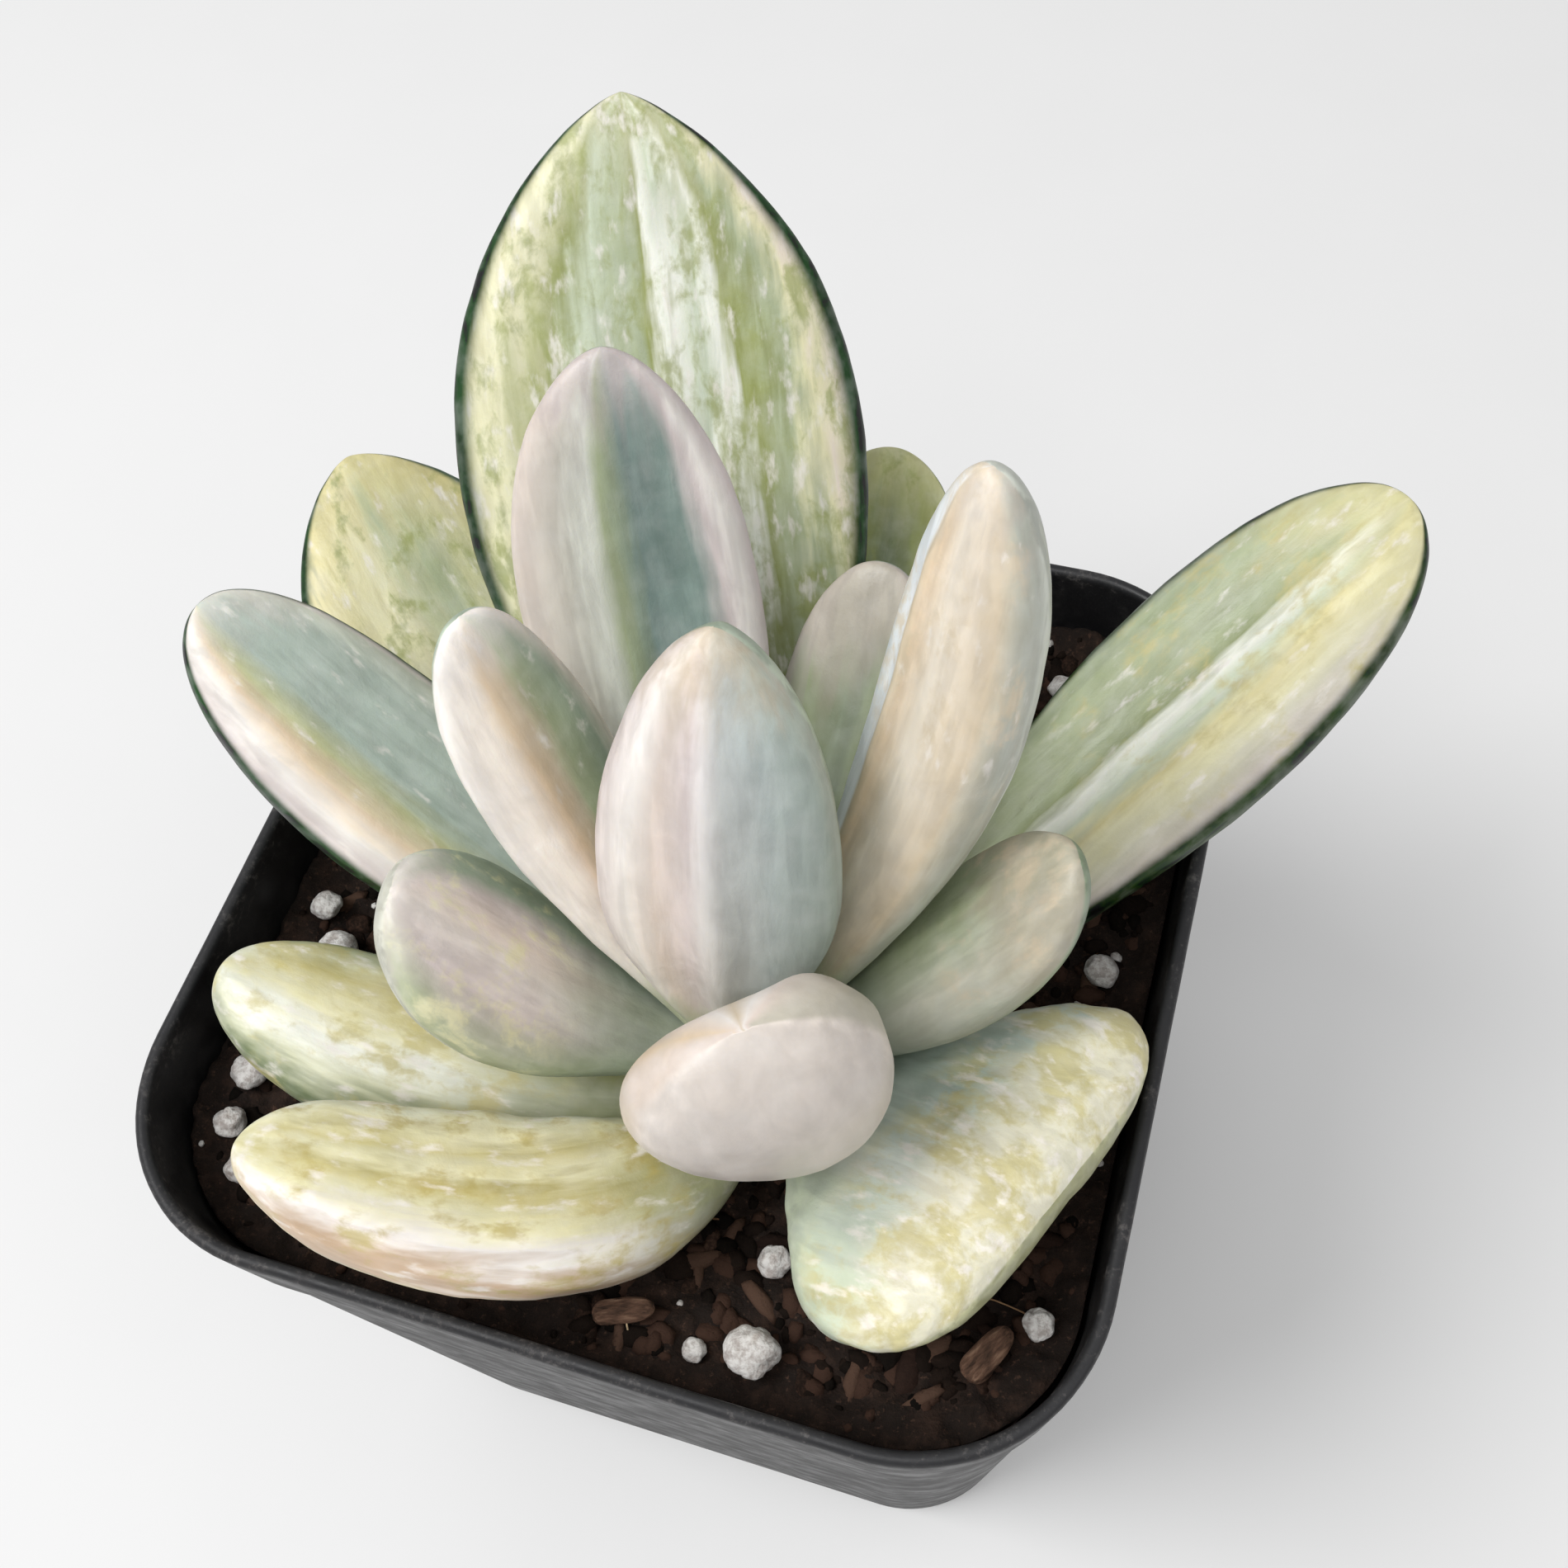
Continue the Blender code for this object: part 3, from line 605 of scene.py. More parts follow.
def leaf_mesh(leaf, seed):
    """The leaf's skin, with its along, across and upper values kept for the material."""
    (a, b, c, d), side = leaf_spine(leaf)
    ramp = np.linspace(0.0, 1.0, LEAF_STATIONS, endpoint=False)
    share = 1.0 - (1.0 - ramp) ** 1.7 * (1.0 - 0.35 * ramp)
    rest = 1.0 - share
    weights = np.stack([rest**3, 3 * rest**2 * share, 3 * rest * share**2, share**3], 1)
    places = weights @ np.stack([a, b, c, d])
    slopes = np.stack([rest**2, 2 * rest * share, share**2], 1) @ np.stack([b - a, c - b, d - c])
    slopes /= np.linalg.norm(slopes, axis=1)[:, None]
    across = side - slopes * (slopes @ side)[:, None]
    across /= np.linalg.norm(across, axis=1)[:, None]
    lift = np.cross(across, slopes)
    spin = math.radians(leaf.roll)
    right = across * math.cos(spin) + lift * math.sin(spin)
    above = lift * math.cos(spin) - across * math.sin(spin)

    right_half = leaf_half_width(leaf, share, leaf.widest + leaf.skew)[:, None]
    left_half = leaf_half_width(leaf, share, leaf.widest - leaf.skew)[:, None]
    thick = leaf_thickness(leaf, share)[:, None]
    grown = (right_half + left_half) / (leaf.width * MM)
    length = float(np.linalg.norm(np.diff(places, axis=0), axis=1).sum())

    angle = 2.0 * math.pi * np.arange(LEAF_SIDES) / LEAF_SIDES
    out = (np.sign(np.cos(angle)) * np.abs(np.cos(angle)) ** SECTION_POWER)[None, :]
    upper = (np.sin(angle) >= -1e-9)[None, :]
    crown = (1.0 - leaf.belly) * np.abs(np.sin(angle))[None, :] ** SECTION_POWER
    flat = 1.0 - out**4
    dip = np.exp(-(((out - leaf.cup_at) / CUP_SPREAD) ** 2)) * flat
    top = thick * crown - leaf.cup * MM * dip * grown**2
    for at, height, spread in leaf.folds:
        top = top + height * MM * np.exp(-(((out - at) / spread) ** 2)) * flat * grown**2
    drop = np.maximum(1.0 - np.abs(out) ** leaf.keel, 0.0) ** (1.0 / SECTION_EDGE)
    height_at = np.where(upper, top, -thick * leaf.belly * drop)
    shifted = np.where(upper, out, out + leaf.keel_at * drop**2)
    width_at = shifted * np.where(shifted > 0.0, right_half, left_half)

    points = places[:, None, :] + right[:, None, :] * width_at[..., None]
    points = (points + above[:, None, :] * height_at[..., None]).reshape(-1, 3)
    along_mm = (share * length / MM)[:, None] + 0.0 * width_at
    domain = np.stack([width_at / MM, height_at / MM, along_mm], 2).reshape(-1, 3)

    swell = np.array(
        [
            noise.noise(Vector((x * 0.22 + seed * 7.3, y * 0.3, z * 0.16)))
            + 0.45 * noise.noise(Vector((x * 0.6 - seed * 3.1, y * 0.6, z * 0.42)))
            + 0.12 * noise.noise(Vector((x * 1.7, y * 1.7 + seed, z * 1.3)))
            for x, y, z in domain
        ]
    )
    outward = points - np.repeat(places, LEAF_SIDES, axis=0)
    reach = np.linalg.norm(outward, axis=1)
    fade = np.repeat(ease(share / 0.3), LEAF_SIDES) * np.clip(reach / (1.5 * MM), 0.0, 1.0)
    push = swell * fade * leaf.lumps * MM / np.maximum(reach, 1e-9)
    points = points + outward * push[:, None]

    points = np.vstack([points, a - slopes[0] * NECK_CAP, d])
    # loft_faces winds these rings inwards, so each face is reversed.
    faces = [face[::-1] for face in loft_faces(LEAF_STATIONS, LEAF_SIDES)]
    mesh = make_mesh(leaf.name + "_skin", points, faces)
    turned_up = np.concatenate([np.tile(np.sin(angle), LEAF_STATIONS), [1.0, 1.0]])
    add_floats(mesh, "along", np.concatenate([np.repeat(share, LEAF_SIDES), [0.0, 1.0]]))
    add_floats(mesh, "across", np.concatenate([np.tile(out[0], LEAF_STATIONS), [0.0, 0.0]]))
    add_floats(mesh, "edge", turned_up)
    ends = [[0.0, 0.0, 0.0], [0.0, 0.0, length / MM]]
    add_vectors(mesh, "skin", np.vstack([domain, ends]))
    return mesh


def leaf_material(name, look):
    """Waxy leaf skin: wandering bands along the leaf, then streaks, spots and bloom, with painted
    shade along the streaks and, from a near-black underside colour, along the edge.
    """
    skin = Shader(name, roughness=0.45, specular=0.5)
    domain = skin.attribute("skin", "Vector")
    along = skin.attribute("along")
    across = skin.attribute("across")
    edge = skin.attribute("edge")
    shift = (look.seed * 13.7, look.seed * 5.1, look.seed * 9.3)

    streak_domain = skin.scaled(domain, (1.0, 1.0, 0.14), shift)
    patch_domain = skin.scaled(domain, (1.0, 1.0, 0.6), shift)
    broad = skin.noise(streak_domain, 0.42, 3.0, 0.5, 0.3)
    streak = skin.noise(streak_domain, 1.25, 3.0, 0.5, 0.3)
    patch = skin.noise(patch_domain, 0.42, 4.0, 0.55, 0.4)
    grain = skin.noise(patch_domain, 1.5, 5.0, 0.62, 0.4)

    lines = skin.step(streak, 0.0, 1.0, 0.5 - 0.5 * look.relief, 0.5 + 0.5 * look.relief)
    wander = skin.math("MULTIPLY_ADD", broad, 0.65, skin.math("MULTIPLY", lines, 0.35))
    stray = skin.math("MULTIPLY_ADD", wander, look.wander * 3.0, -look.wander * 1.5)
    place = skin.math("MULTIPLY_ADD", skin.math("ADD", across, stray), 0.5, 0.5)
    tone = skin.ramp(place, *[(0.5 + 0.5 * at, colour) for at, colour in look.bands])

    tip_edge = skin.math("MULTIPLY_ADD", wander, -0.4, skin.math("ADD", along, 0.2))
    tip_share = skin.step(tip_edge, look.tip_from, min(look.tip_from + 0.22, 1.06), 0.0, 0.85)
    tone = skin.mix(tip_share, tone, look.tip)
    base_edge = skin.math("MULTIPLY_ADD", wander, -0.3, skin.math("ADD", along, 0.15))
    base_share = skin.step(base_edge, look.base_to * 0.3, look.base_to, 0.8, 0.0)
    tone = skin.mix(base_share, tone, look.base)

    there = skin.step(along, look.spot_from - 0.1, look.spot_from + 0.1)
    if look.spotted:
        level = skin.math("MULTIPLY_ADD", grain, 0.35, skin.math("MULTIPLY", patch, 0.75))
        cut = 0.67 - 0.22 * look.spotted
        spots = skin.step(level, cut - 0.06, cut + 0.11, 0.0, 0.8)
        tone = skin.mix(skin.math("MULTIPLY", spots, there), tone, look.spots)
    if look.pale:
        flecks = skin.noise(skin.scaled(domain, (1.0, 1.0, 0.4), (9.0, 4.0, look.seed)), 1.1)
        cut = 0.66 - 0.16 * look.pale
        fleck_share = skin.step(flecks, cut - 0.06, cut + 0.12, 0.0, 0.7)
        tone = skin.mix(skin.math("MULTIPLY", fleck_share, there), tone, WHITE)

    under = tuple(min(1.35 * value, 1.0) for value in look.back)
    back = skin.mix(skin.step(lines, 0.35, 0.65), look.back, under)
    deep = tuple(max(pair) for pair in zip(look.back, UNDERSIDE))
    back = skin.mix(skin.step(edge, -0.7, -0.15), deep, back)
    # the underside's colour comes up round the edge; near-black backs make this a rim of painted
    # shade
    tone = skin.mix(skin.step(edge, look.rim - 0.14, look.rim + 0.1), back, tone)
    # painted shade and light: darker in the furrows and lighter on the ridges of the streaks and
    # the broad patches, which the bumps below raise
    shading = skin.step(lines, 0.3, 0.7, 0.93, 1.06)
    tone = skin.mix(1.0, tone, shading, "MULTIPLY")
    tone = skin.mix(1.0, tone, skin.step(patch, 0.3, 0.7, 0.93, 1.06), "MULTIPLY")
    bloom = skin.step(skin.noise(domain, 0.7, 3.0, 0.5), 0.35, 0.75, 0.0, 0.12)
    tone = skin.mix(bloom, tone, (0.82, 0.82, 0.81))
    tone = skin.contrast(tone, 0.22)
    tone = skin.mix(1.0, tone, (look.dim, look.dim, look.dim), "MULTIPLY")

    relief = skin.bump(lines, 0.12 * MM, 0.25 * look.relief)
    relief = skin.bump(patch, 0.35 * MM, 0.35 * look.relief, relief)
    relief = skin.bump(skin.noise(domain, 7.0, 3.0, 0.6), 0.02 * MM, 0.5, relief)
    skin.set("Subsurface Weight", 0.15)
    skin.set("Subsurface Scale", 1.0 * MM)
    skin.set("Subsurface Radius", (1.0, 0.85, 0.55))
    return skin.finish(tone, relief, skin.step(patch, 0.3, 0.7, 0.36, 0.52))


def leaf_slot(name):
    for entry in frame["record"]["subparts"]:
        if entry["node"] == name:
            return entry["material_slot"]
    return "leaf_cream"


def build_leaves():
    for leaf, look in LEAVES:
        mesh = leaf_mesh(leaf, look.seed)
        material = leaf_material(leaf.name + "_look", look)
        add_piece(leaf.name + "_fine", mesh, material, leaf_slot(leaf.name), leaf.name)


# ---------------------------------------------------------------- soil
def inside_at(z):
    """Inside half width and corner radius of the pot at a height."""
    share = z / POT_HEIGHT
    width = POT_BASE_WIDTH + (POT_WIDTH - 2.0 * BAND_STEP - POT_BASE_WIDTH) * share
    corner = BASE_CORNER + (RIM_CORNER - BAND_STEP - BASE_CORNER) * share
    return width / 2.0 - POT_WALL, corner - POT_WALL


def soil_height(x, y):
    """The soil's crumbly surface, in metres, at a place in the pot."""
    half = inside_at(SOIL_Z)[0]
    outness = ((x / half) ** 4 + (y / half) ** 4) ** 0.25
    dish = SOIL_DISH * outness**SOIL_DISH_POWER
    place = Vector((x, y, 0.0)) / MM
    broad = noise.noise(place * 0.13 + Vector((3.1, 7.7, 0.0)))
    crumbs = noise.noise(place * 0.5 + Vector((11.0, 2.0, 5.0)))
    fine = noise.noise(place * 1.3) + 0.5 * noise.noise(place * 3.3)
    return SOIL_Z + dish + MM * (0.45 * broad + 0.65 * crumbs + 0.35 * fine)


def soil_mesh():
    """A closed block: a fine crumbly top, sides that follow the pot, a flat bottom."""
    cells = 170
    half, corner = inside_at(SOIL_Z + SOIL_DISH)
    half -= GAP
    corner -= GAP
    points = []
    for row in range(cells + 1):
        for column in range(cells + 1):
            x = -half + 2.0 * half * column / cells
            y = -half + 2.0 * half * row / cells
            straight = half - corner
            dx, dy = abs(x) - straight, abs(y) - straight
            if dx > 0.0 and dy > 0.0:
                pull = max(dx, dy) / math.hypot(dx, dy)
                x = math.copysign(straight + dx * pull, x)
                y = math.copysign(straight + dy * pull, y)
            points.append((x, y, soil_height(x, y)))
    faces = []
    side = cells + 1
    for row in range(cells):
        for column in range(cells):
            start = row * side + column
            faces.append((start, start + 1, start + 1 + side, start + side))
    border = list(range(side)) + [row * side + cells for row in range(1, side)]
    border += [cells * side + column for column in range(cells - 1, -1, -1)]
    border += [row * side for row in range(cells - 1, 0, -1)]
    floor_z = POT_FLOOR + GAP
    floor_half = inside_at(floor_z)[0] - GAP
    first = len(points)
    for index in border:
        x, y, _ = points[index]
        points.append((x * floor_half / half, y * floor_half / half, floor_z))
    count = len(border)
    for i in range(count):
        j = (i + 1) % count
        faces.append((border[j], border[i], first + i, first + j))
    points.append((0.0, 0.0, floor_z))
    for i in range(count):
        j = (i + 1) % count
        faces.append((first + j, first + i, len(points) - 1))
    return make_mesh("soil_fine", points, faces)


def soil_material():
    """Damp peat: near black with brown and rusty crumbs."""
    soil = Shader("soil_look", roughness=0.85, specular=0.25)
    place = soil.millimetres()
    coarse = soil.noise(place, 0.6, 6.0, 0.65)
    fine = soil.noise(place, 2.6, 6.0, 0.7)
    colour = soil.ramp(
        coarse,
        (0.30, (0.012, 0.008, 0.006)),
        (0.50, (0.017, 0.010, 0.007)),
        (0.68, (0.040, 0.022, 0.015)),
    )
    colour = soil.mix(soil.step(fine, 0.55, 0.75), colour, (0.11, 0.06, 0.04))
    relief = soil.bump(coarse, 0.5 * MM, 0.8)
    relief = soil.bump(fine, 0.2 * MM, 0.8, relief)
    return soil.finish(colour, relief)


def chunk_points(rng, size, stretch, seed_step=5.0):
    """A lumpy stone-like chunk about the origin, with its faces."""
    bm = bmesh.new()
    bmesh.ops.create_icosphere(bm, subdivisions=2, radius=0.5)
    offset = Vector((rng.uniform(0, 90), rng.uniform(0, 90), rng.uniform(0, 90)))
    turn = Matrix.Rotation(rng.uniform(0, 6.28), 3, "Z") @ Matrix.Rotation(
        rng.uniform(-0.6, 0.6), 3, "X"
    )
    for vert in bm.verts:
        lump = noise.noise(vert.co * seed_step + offset)
        vert.co *= 1.0 + 0.45 * lump
        vert.co = turn @ Vector(
            (vert.co.x * stretch[0], vert.co.y * stretch[1], vert.co.z * stretch[2])
        )
        vert.co *= size
    points = [tuple(vert.co) for vert in bm.verts]
    bm.verts.index_update()
    faces = [tuple(vert.index for vert in face.verts) for face in bm.faces]
    bm.free()
    return points, faces


def random_place(rng, margin):
    """A place on the soil, clear of the pot's wall and of the stem."""
    half, corner = inside_at(SOIL_Z)
    half -= margin
    while True:
        x = rng.uniform(-half, half)
        y = rng.uniform(-half, half)
        dx = abs(x) - (half - corner)
        dy = abs(y) - (half - corner)
        if dx > 0.0 and dy > 0.0 and math.hypot(dx, dy) > corner:
            continue
        if math.hypot(x - STEM.x, y - STEM.y) > STEM_FOOT_RADIUS + margin:
            return x, y


def scatter(name, count, low, high, stretch, sink, material, slot_name, seed):
    """Many small chunks in one mesh, lying on the soil, each with its own tone."""
    rng = random.Random(seed)
    points, faces, tones = [], [], []
    for _ in range(count):
        size = rng.uniform(low, high) * rng.uniform(0.7, 1.0) * MM
        chunk, chunk_faces = chunk_points(rng, size, stretch)
        x, y = random_place(rng, size)
        lift = soil_height(x, y) - size * sink
        start = len(points)
        points += [(px + x, py + y, pz + lift) for px, py, pz in chunk]
        faces += [tuple(start + i for i in face) for face in chunk_faces]
        tones += [rng.random()] * len(chunk)
    mesh = make_mesh(name, points, faces)
    add_floats(mesh, "tone", tones)
    return add_piece(name, mesh, material, slot_name)


def crumb_material(name, dark, middle, light, roughness=0.9):
    crumb = Shader(name, roughness=roughness, specular=0.1)
    place = crumb.millimetres()
    fine = crumb.noise(place, 3.0, 5.0, 0.7)
    level = crumb.math("MULTIPLY_ADD", fine, 0.5, crumb.attribute("tone"))
    colour = crumb.ramp(level, (0.25, dark), (0.75, middle), (1.3 / 1.5, light))
    return crumb.finish(colour, crumb.bump(fine, 0.15 * MM, 0.8))


def fibre_mesh(name, count, seed):
    """Thin bent root hairs and peat fibres lying on the soil."""
    rng = random.Random(seed)
    points, faces, tones = [], [], []
    sides, rings = 5, 9
    for _ in range(count):
        x, y = random_place(rng, 3.0 * MM)
        heading = rng.uniform(0.0, 2.0 * math.pi)
        length = rng.uniform(2.0, 7.0) * MM
        radius = rng.uniform(0.05, 0.13) * MM
        bend = rng.uniform(-1.5, 1.5)
        tone = rng.random()
        start = len(points)
        place = Vector((x, y, 0.0))
        for ring in range(rings):
            share = ring / (rings - 1)
            direction = heading + bend * share
            step = Vector((math.cos(direction), math.sin(direction), 0.0))
            place = place + step * length / rings
            across = Vector((-step.y, step.x, 0.0))
            height = soil_height(place.x, place.y) + radius + 0.25 * MM
            arch = 0.5 * MM * math.sin(math.pi * share)
            for k in range(sides):
                angle = 2.0 * math.pi * k / sides
                arm = across * math.cos(angle) * radius
                z = height + arch + math.sin(angle) * radius
                points.append((place.x + arm.x, place.y + arm.y, z))
            tones += [tone] * sides
        for first in (start, len(points) - sides):
            ring_points = points[first : first + sides]
            points.append(tuple(sum(axis) / sides for axis in zip(*ring_points)))
        tones += [tone] * 2
        faces += [tuple(start + i for i in face) for face in loft_faces(rings, sides)]
    mesh = make_mesh(name, points, faces)
    add_floats(mesh, "tone", tones)
    return mesh


def perlite_material():
    """Chalky expanded glass: off-white, pitted, a little stained by the soil."""
    grain = Shader("perlite_look", roughness=0.9, specular=0.2)
    place = grain.millimetres()
    pits = grain.noise(place, 1.8, 6.0, 0.7)
    stain = grain.noise(place, 0.7, 3.0, 0.6)
    colour = grain.mix(grain.step(pits, 0.35, 0.6), (0.50, 0.45, 0.42), (0.88, 0.86, 0.83))
    colour = grain.mix(grain.step(stain, 0.55, 0.8, 0.0, 0.55), colour, (0.34, 0.25, 0.19))
    return grain.finish(colour, grain.bump(pits, 0.35 * MM, 0.9))


def build_grains(material):
    for number, size in enumerate(GRAIN_SIZES, start=1):
        node = f"perlite_{number:02d}"
        low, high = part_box(node)
        centre = (low + high) / 2.0
        bm = bmesh.new()
        bmesh.ops.create_icosphere(bm, subdivisions=4, radius=size * MM / 2.0)
        shift = Vector((number * 3.7, number * 1.9, 0.0))
        for vert in bm.verts:
            place = vert.co / (size * MM) * 2.0
            lump = 0.22 * noise.noise(place * 1.4 + shift)
            pits = -0.10 * abs(noise.noise(place * 4.5 + shift))
            vert.co *= 0.98 + lump + pits
            vert.co.z *= 0.8
            vert.co += centre - Vector((0.0, 0.0, 0.25 * MM))
        mesh = bpy.data.meshes.new(node + "_fine")
        bm.to_mesh(mesh)
        bm.free()
        mesh.shade_smooth()
        add_piece(node + "_fine", mesh, material, "perlite", node)


def bark_material():
    bark = Shader("bark_look", roughness=0.85, specular=0.25)
    place = bark.scaled(bark.attribute("skin", "Vector"), (0.25, 1.0, 1.0))
    strands = bark.noise(place, 3.0, 5.0, 0.6)
    colour = bark.ramp(
        strands,
        (0.30, (0.035, 0.020, 0.013)),
        (0.52, (0.13, 0.070, 0.045)),
        (0.72, (0.26, 0.16, 0.105)),
    )
    return bark.finish(colour, bark.bump(strands, 0.25 * MM, 0.9))


def build_chips(material):
    """Splintery chips of bark, each a bent, tapering slab."""
    for number, (x, y, length, width, turn) in enumerate(CHIPS, start=1):
        node = f"bark_{number}"
        low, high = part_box(node)
        centre = (low + high) / 2.0
        spin = math.radians(turn)
        rings, sides = 24, 20
        points, domain = [], []
        for ring in range(rings):
            share = (ring + 0.5) / rings
            along = (share - 0.5) * length
            taper = (1.0 - abs(2.0 * share - 1.0) ** 4) ** 0.5 * (1.05 - 0.3 * share)
            for k in range(sides):
                angle = 2.0 * math.pi * k / sides
                rough = 1.0 + 0.22 * noise.noise(
                    Vector((along * 0.5, math.cos(angle) * 2.0, math.sin(angle) * 2.0 + number))
                )
                u = math.copysign(abs(math.cos(angle)) ** 0.6, math.cos(angle))
                v = math.copysign(abs(math.sin(angle)) ** 0.6, math.sin(angle))
                local_y = width / 2.0 * taper * rough * u
                local_z = 0.55 * taper * rough * v + 0.15 * math.sin(along * 1.3)
                points.append(
                    (
                        x * MM + (along * math.cos(spin) - local_y * math.sin(spin)) * MM,
                        y * MM + (along * math.sin(spin) + local_y * math.cos(spin)) * MM,
                        centre.z + (local_z - 0.2) * MM,
                    )
                )
                domain.append((along, local_y, local_z))
        for end in (-0.5, 0.5):
            along = end * length
            points.append(
                (
                    x * MM + along * math.cos(spin) * MM,
                    y * MM + along * math.sin(spin) * MM,
                    centre.z - 0.1 * MM,
                )
            )
            domain.append((along, 0.0, 0.0))
        mesh = make_mesh(node + "_fine", points, loft_faces(rings, sides))
        add_vectors(mesh, "skin", domain)
        add_piece(node + "_fine", mesh, material, "bark", node)


def build_soil():
    add_piece("soil_fine", soil_mesh(), soil_material(), "soil", "soil")
    peat = crumb_material(
        "crumb_look", (0.005, 0.004, 0.003), (0.018, 0.011, 0.008), (0.055, 0.030, 0.021)
    )
    scatter("soil_crumbs", 2300, 0.6, 2.6, (1.0, 0.7, 0.65), 0.12, peat, "soil", 11)
    splinter = crumb_material(
        "splinter_look", (0.010, 0.006, 0.005), (0.034, 0.019, 0.014), (0.09, 0.052, 0.036)
    )
    scatter("soil_splinters", 320, 1.4, 3.6, (1.3, 0.45, 0.38), 0.0, splinter, "bark", 12)
    white = perlite_material()
    scatter("perlite_bits", 90, 0.4, 1.1, (1.0, 0.9, 0.8), 0.05, white, "perlite", 13)
    fibre = crumb_material(
        "fibre_look", (0.16, 0.08, 0.04), (0.36, 0.22, 0.12), (0.60, 0.45, 0.28), 0.7
    )
    add_piece("soil_fibres", fibre_mesh("soil_fibres", 70, 14), fibre, "bark")
    build_grains(white)
    build_chips(bark_material())


# ---------------------------------------------------------------- pot and stem
def square_ring(half, corner, z, wobble=0.0):
    """Points round a square with rounded corners, anticlockwise from +X."""
    corner_steps, side_steps = 20, 16
    ring = []
    for quarter in range(4):
        turn = math.pi / 2.0 * quarter
        along = Vector((math.cos(turn), math.sin(turn), 0.0))
        left = Vector((-along.y, along.x, 0.0))
        straight = half - corner
        for step in range(side_steps):
            side = -straight + 2.0 * straight * step / side_steps
            ring.append(along * half + left * side)
        centre = (along + left) * straight
        for step in range(corner_steps):
            angle = turn + math.pi / 2.0 * step / corner_steps
            arm = Vector((math.cos(angle), math.sin(angle), 0.0)) * corner
            ring.append(centre + arm)
    for point in ring:
        sway = noise.noise(point / MM * 0.06) + 0.4 * noise.noise(point / MM * 0.3)
        point *= 1.0 - wobble * (0.5 + 0.5 * sway)
        point.z = z
    return ring


def pot_mesh():
    """The thin-walled pot with its band, rounded lip and four drain holes."""
    straight = POT_WALL
    band_z = POT_HEIGHT - BAND_HEIGHT

    def outside(z):
        half, corner = inside_at(z)
        return half + straight, corner + straight

    rings = [square_ring(outside(0.0)[0] - 0.4 * MM, outside(0.0)[1] - 0.4 * MM, 0.0)]
    for z in (0.4 * MM, 12.0 * MM, 25.0 * MM, 38.0 * MM, band_z - 0.4 * MM):
        rings.append(square_ring(*outside(z), z))
    top_half = POT_WIDTH / 2.0
    for z in (band_z, band_z + 0.3 * MM, POT_HEIGHT - 1.2 * MM):
        half, corner = outside(z)
        rings.append(square_ring(half + BAND_STEP, corner + BAND_STEP, z, 0.002))
    lip_half, lip_corner = inside_at(POT_HEIGHT)
    middle = (top_half + lip_half) / 2.0
    round_by = (top_half - lip_half) / 2.0
    for step in range(9):
        angle = math.pi * step / 8.0
        half = middle + round_by * math.cos(angle)
        z = POT_HEIGHT - round_by * (1.0 - math.sin(angle))
        rings.append(square_ring(half, lip_corner + half - lip_half, z, 0.004))
    for z in (50.0 * MM, 38.0 * MM, 25.0 * MM, 12.0 * MM, POT_FLOOR):
        rings.append(square_ring(*inside_at(z), z))
    count = len(rings[0])
    points = [point for ring in rings for point in ring]
    points += [Vector((0.0, 0.0, 0.0)), Vector((0.0, 0.0, POT_FLOOR))]
    skin = make_mesh("pot_body", points, loft_faces(len(rings), count))
    body = bpy.data.objects.new("pot_body", skin)

    holes = bmesh.new()
    reach = POT_BASE_WIDTH / 2.0 - HOLE_INSET
    for side_x in (-1, 1):
        for side_y in (-1, 1):
            place = Vector((side_x * reach, side_y * reach, POT_FLOOR / 2.0))
            bmesh.ops.create_cone(
                holes,
                cap_ends=True,
                segments=40,
                radius1=HOLE_RADIUS,
                radius2=HOLE_RADIUS,
                depth=POT_FLOOR * 3.0,
                matrix=Matrix.Translation(place),
            )
    hole_mesh = bpy.data.meshes.new("pot_holes")
    holes.to_mesh(hole_mesh)
    holes.free()
    cutter = bpy.data.objects.new("pot_holes", hole_mesh)
    for made in (body, cutter):
        bpy.context.scene.collection.objects.link(made)
    drill = body.modifiers.new("drain holes", "BOOLEAN")
    drill.operation = "DIFFERENCE"
    drill.solver = "EXACT"
    drill.object = cutter
    shaped = body.evaluated_get(bpy.context.evaluated_depsgraph_get())
    mesh = bpy.data.meshes.new_from_object(shaped)
    mesh.name = "pot_fine"
    mesh.set_sharp_from_angle(angle=math.radians(50.0))
    for made in (body, cutter):
        bpy.data.objects.remove(made, do_unlink=True)
    return mesh


def pot_material():
    """Black moulded plastic: slightly satin, dusty and scuffed at the rim, with a painted
    highlight of lighter grey along the top of the lip.
    """
    pot = Shader("pot_look", roughness=0.42, specular=0.32)
    place = pot.millimetres()
    height = pot.add("ShaderNodeSeparateXYZ")
    pot.feed(height.inputs["Vector"], place)
    near_rim = pot.step(height.outputs["Z"], 55.5, 58.2)
    dust = pot.noise(place, 0.35, 6.0, 0.65)
    specks = pot.noise(place, 2.4, 5.0, 0.75)
    colour = pot.mix(pot.step(dust, 0.4, 0.75), (0.010, 0.010, 0.011), (0.028, 0.026, 0.026))
    level = pot.math("MULTIPLY_ADD", specks, 0.6, pot.math("MULTIPLY", dust, 0.5))
    scuff = pot.math("MULTIPLY", pot.step(level, 0.56, 0.70), near_rim)
    colour = pot.mix(pot.math("MULTIPLY", scuff, 0.55), colour, (0.24, 0.22, 0.21))
    # painted highlight: lighter grey along the top edge of the lip
    painted_lip_highlight = pot.math("MULTIPLY", pot.step(height.outputs["Z"], 57.3, 58.0), 0.5)
    colour = pot.mix(painted_lip_highlight, colour, (0.035, 0.035, 0.038))
    relief = pot.bump(specks, 0.05 * MM, 0.5)
    return pot.finish(colour, relief, pot.step(dust, 0.3, 0.7, 0.36, 0.6))


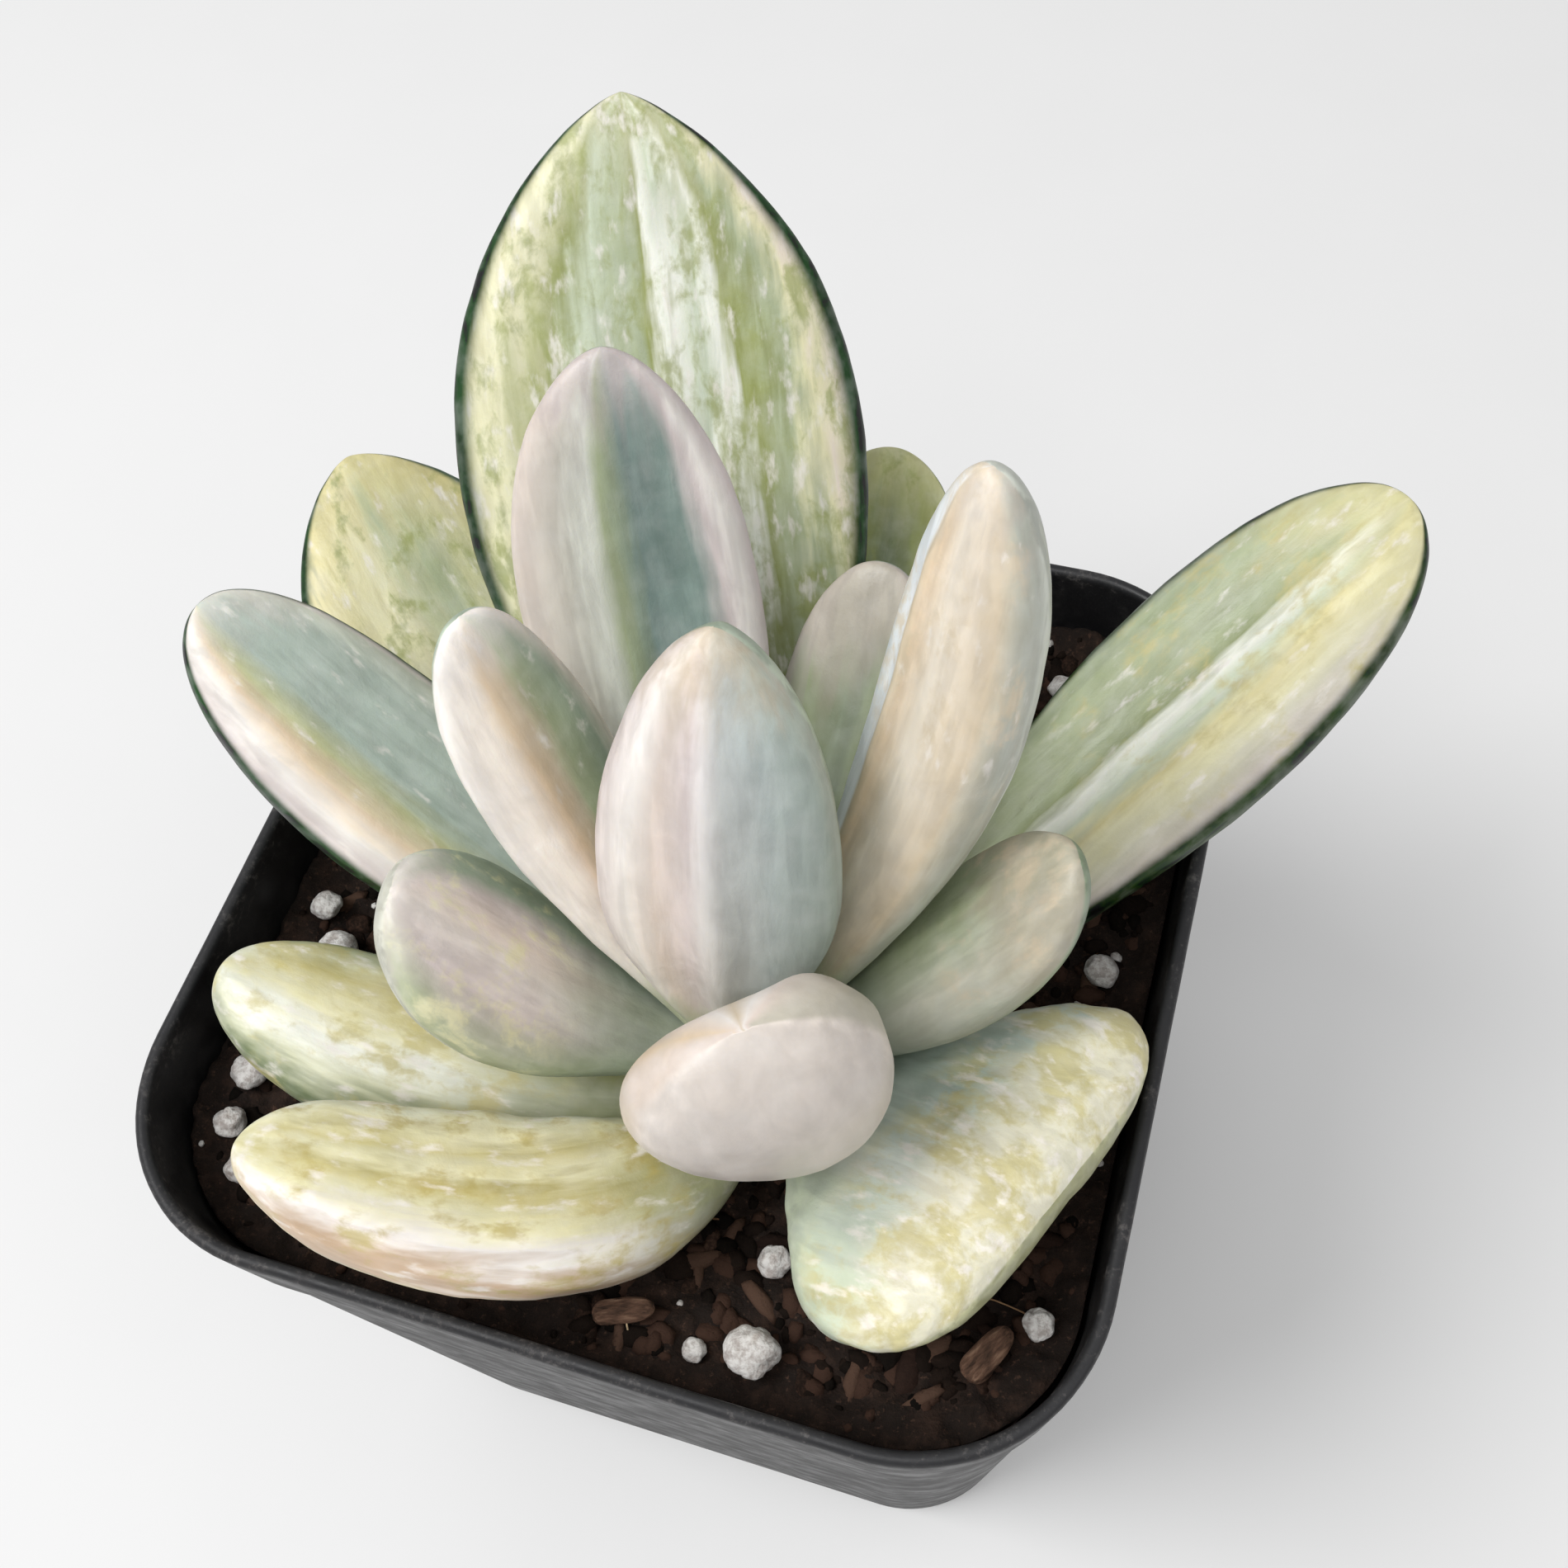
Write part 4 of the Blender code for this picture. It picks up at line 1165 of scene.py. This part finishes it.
def stem_material():
    stem = Shader("stem_look", roughness=0.7, specular=0.3)
    place = stem.scaled(stem.coordinates(), (1000.0, 1000.0, 350.0))
    bark = stem.noise(place, 1.4, 5.0, 0.6)
    colour = stem.ramp(
        bark,
        (0.3, (0.14, 0.15, 0.08)),
        (0.55, (0.30, 0.34, 0.20)),
        (0.75, (0.42, 0.40, 0.28)),
    )
    return stem.finish(colour, stem.bump(bark, 0.2 * MM, 0.7))


def dress_node(node, material):
    """Give a carried-over CAD node its material."""
    piece = frame["nodes"][node]
    piece.data.materials.clear()
    piece.data.materials.append(material)


# ---------------------------------------------------------------- stage, light and camera
def build_stage():
    floor_half = 1.2
    mesh = make_mesh(
        "floor",
        [
            (-floor_half, -floor_half, -0.0002),
            (floor_half, -floor_half, -0.0002),
            (floor_half, floor_half, -0.0002),
            (-floor_half, floor_half, -0.0002),
        ],
        [(0, 1, 2, 3)],
        smooth=False,
    )
    shader = Shader("floor_look", roughness=0.95, specular=0.1)
    place = shader.scaled(shader.coordinates(), (60.0, 60.0, 60.0))
    cloud = shader.noise(place, 1.0, 3.0, 0.5)
    colour = shader.mix(cloud, (0.82, 0.82, 0.82), (0.84, 0.84, 0.84))
    mesh.materials.append(shader.finish(colour))
    floor = bpy.data.objects.new("floor", mesh)
    bpy.context.scene.collection.objects.link(floor)


def aim(obj, eye, target, roll=0.0):
    """Put an object at eye, looking down its -Z at target, rolled about that line."""
    back = (eye - target).normalized()
    right = Vector((0.0, 0.0, 1.0)).cross(back).normalized()
    up = back.cross(right)
    turn = math.radians(roll)
    rolled_right = right * math.cos(turn) + up * math.sin(turn)
    rolled_up = up * math.cos(turn) - right * math.sin(turn)
    matrix = Matrix((rolled_right, rolled_up, back)).transposed().to_4x4()
    matrix.translation = eye
    obj.matrix_world = matrix


def polar(azimuth, elevation, distance):
    """A place round the origin: azimuth 0 is on the -Y side, 90 on the +X side."""
    a, e = math.radians(azimuth), math.radians(elevation)
    return Vector(
        (math.sin(a) * math.cos(e), -math.cos(a) * math.cos(e), math.sin(e))
    ) * distance


def add_area_light(name, azimuth, elevation, distance, size, power, colour=(1.0, 1.0, 1.0)):
    data = bpy.data.lights.new(name, "AREA")
    data.shape = "DISK"
    data.size = size
    data.energy = power
    data.color = colour
    light = bpy.data.objects.new(name, data)
    bpy.context.scene.collection.objects.link(light)
    target = Vector((0.0, 0.0, 0.055))
    aim(light, target + polar(azimuth, elevation, distance), target)


def build_lights():
    add_area_light("key_light", -60.0, 58.0, 0.7, 0.35, 2.9)
    add_area_light("front_light", 5.0, 66.0, 0.8, 0.5, 1.5)
    add_area_light("fill_light", 80.0, 45.0, 0.9, 0.6, 0.7)
    world = bpy.data.worlds.new("studio")
    world.use_nodes = True
    background = world.node_tree.nodes["Background"]
    background.inputs["Color"].default_value = (1.0, 1.0, 1.0, 1.0)
    background.inputs["Strength"].default_value = 0.44
    bpy.context.scene.world = world
    bpy.context.scene.view_settings.view_transform = "Standard"


def build_camera():
    """Looking down at 60 degrees over the pot's front right, with the pot a little turned."""
    azimuth, elevation, roll = 25.0, 60.0, -9.3
    distance = 97.5 * MM
    offset_right, offset_up = 4.9 * MM, 6.0 * MM
    data = bpy.data.cameras.new("camera")
    data.sensor_width = 36.0
    data.lens = 37.2
    data.clip_start = 0.005
    data.clip_end = 10.0
    camera = bpy.data.objects.new("camera", data)
    bpy.context.scene.collection.objects.link(camera)
    rim_centre = Vector((0.0, 0.0, POT_HEIGHT))
    aim(camera, rim_centre + polar(azimuth, elevation, distance), rim_centre, roll)
    turned = camera.matrix_world.to_3x3()
    camera.location += turned @ Vector((offset_right, offset_up, 0.0))
    bpy.context.scene.camera = camera


build_leaves()
build_soil()
add_piece("pot_fine", pot_mesh(), pot_material(), "pot", "pot")
dress_node("stem", stem_material())
build_stage()
build_lights()
build_camera()
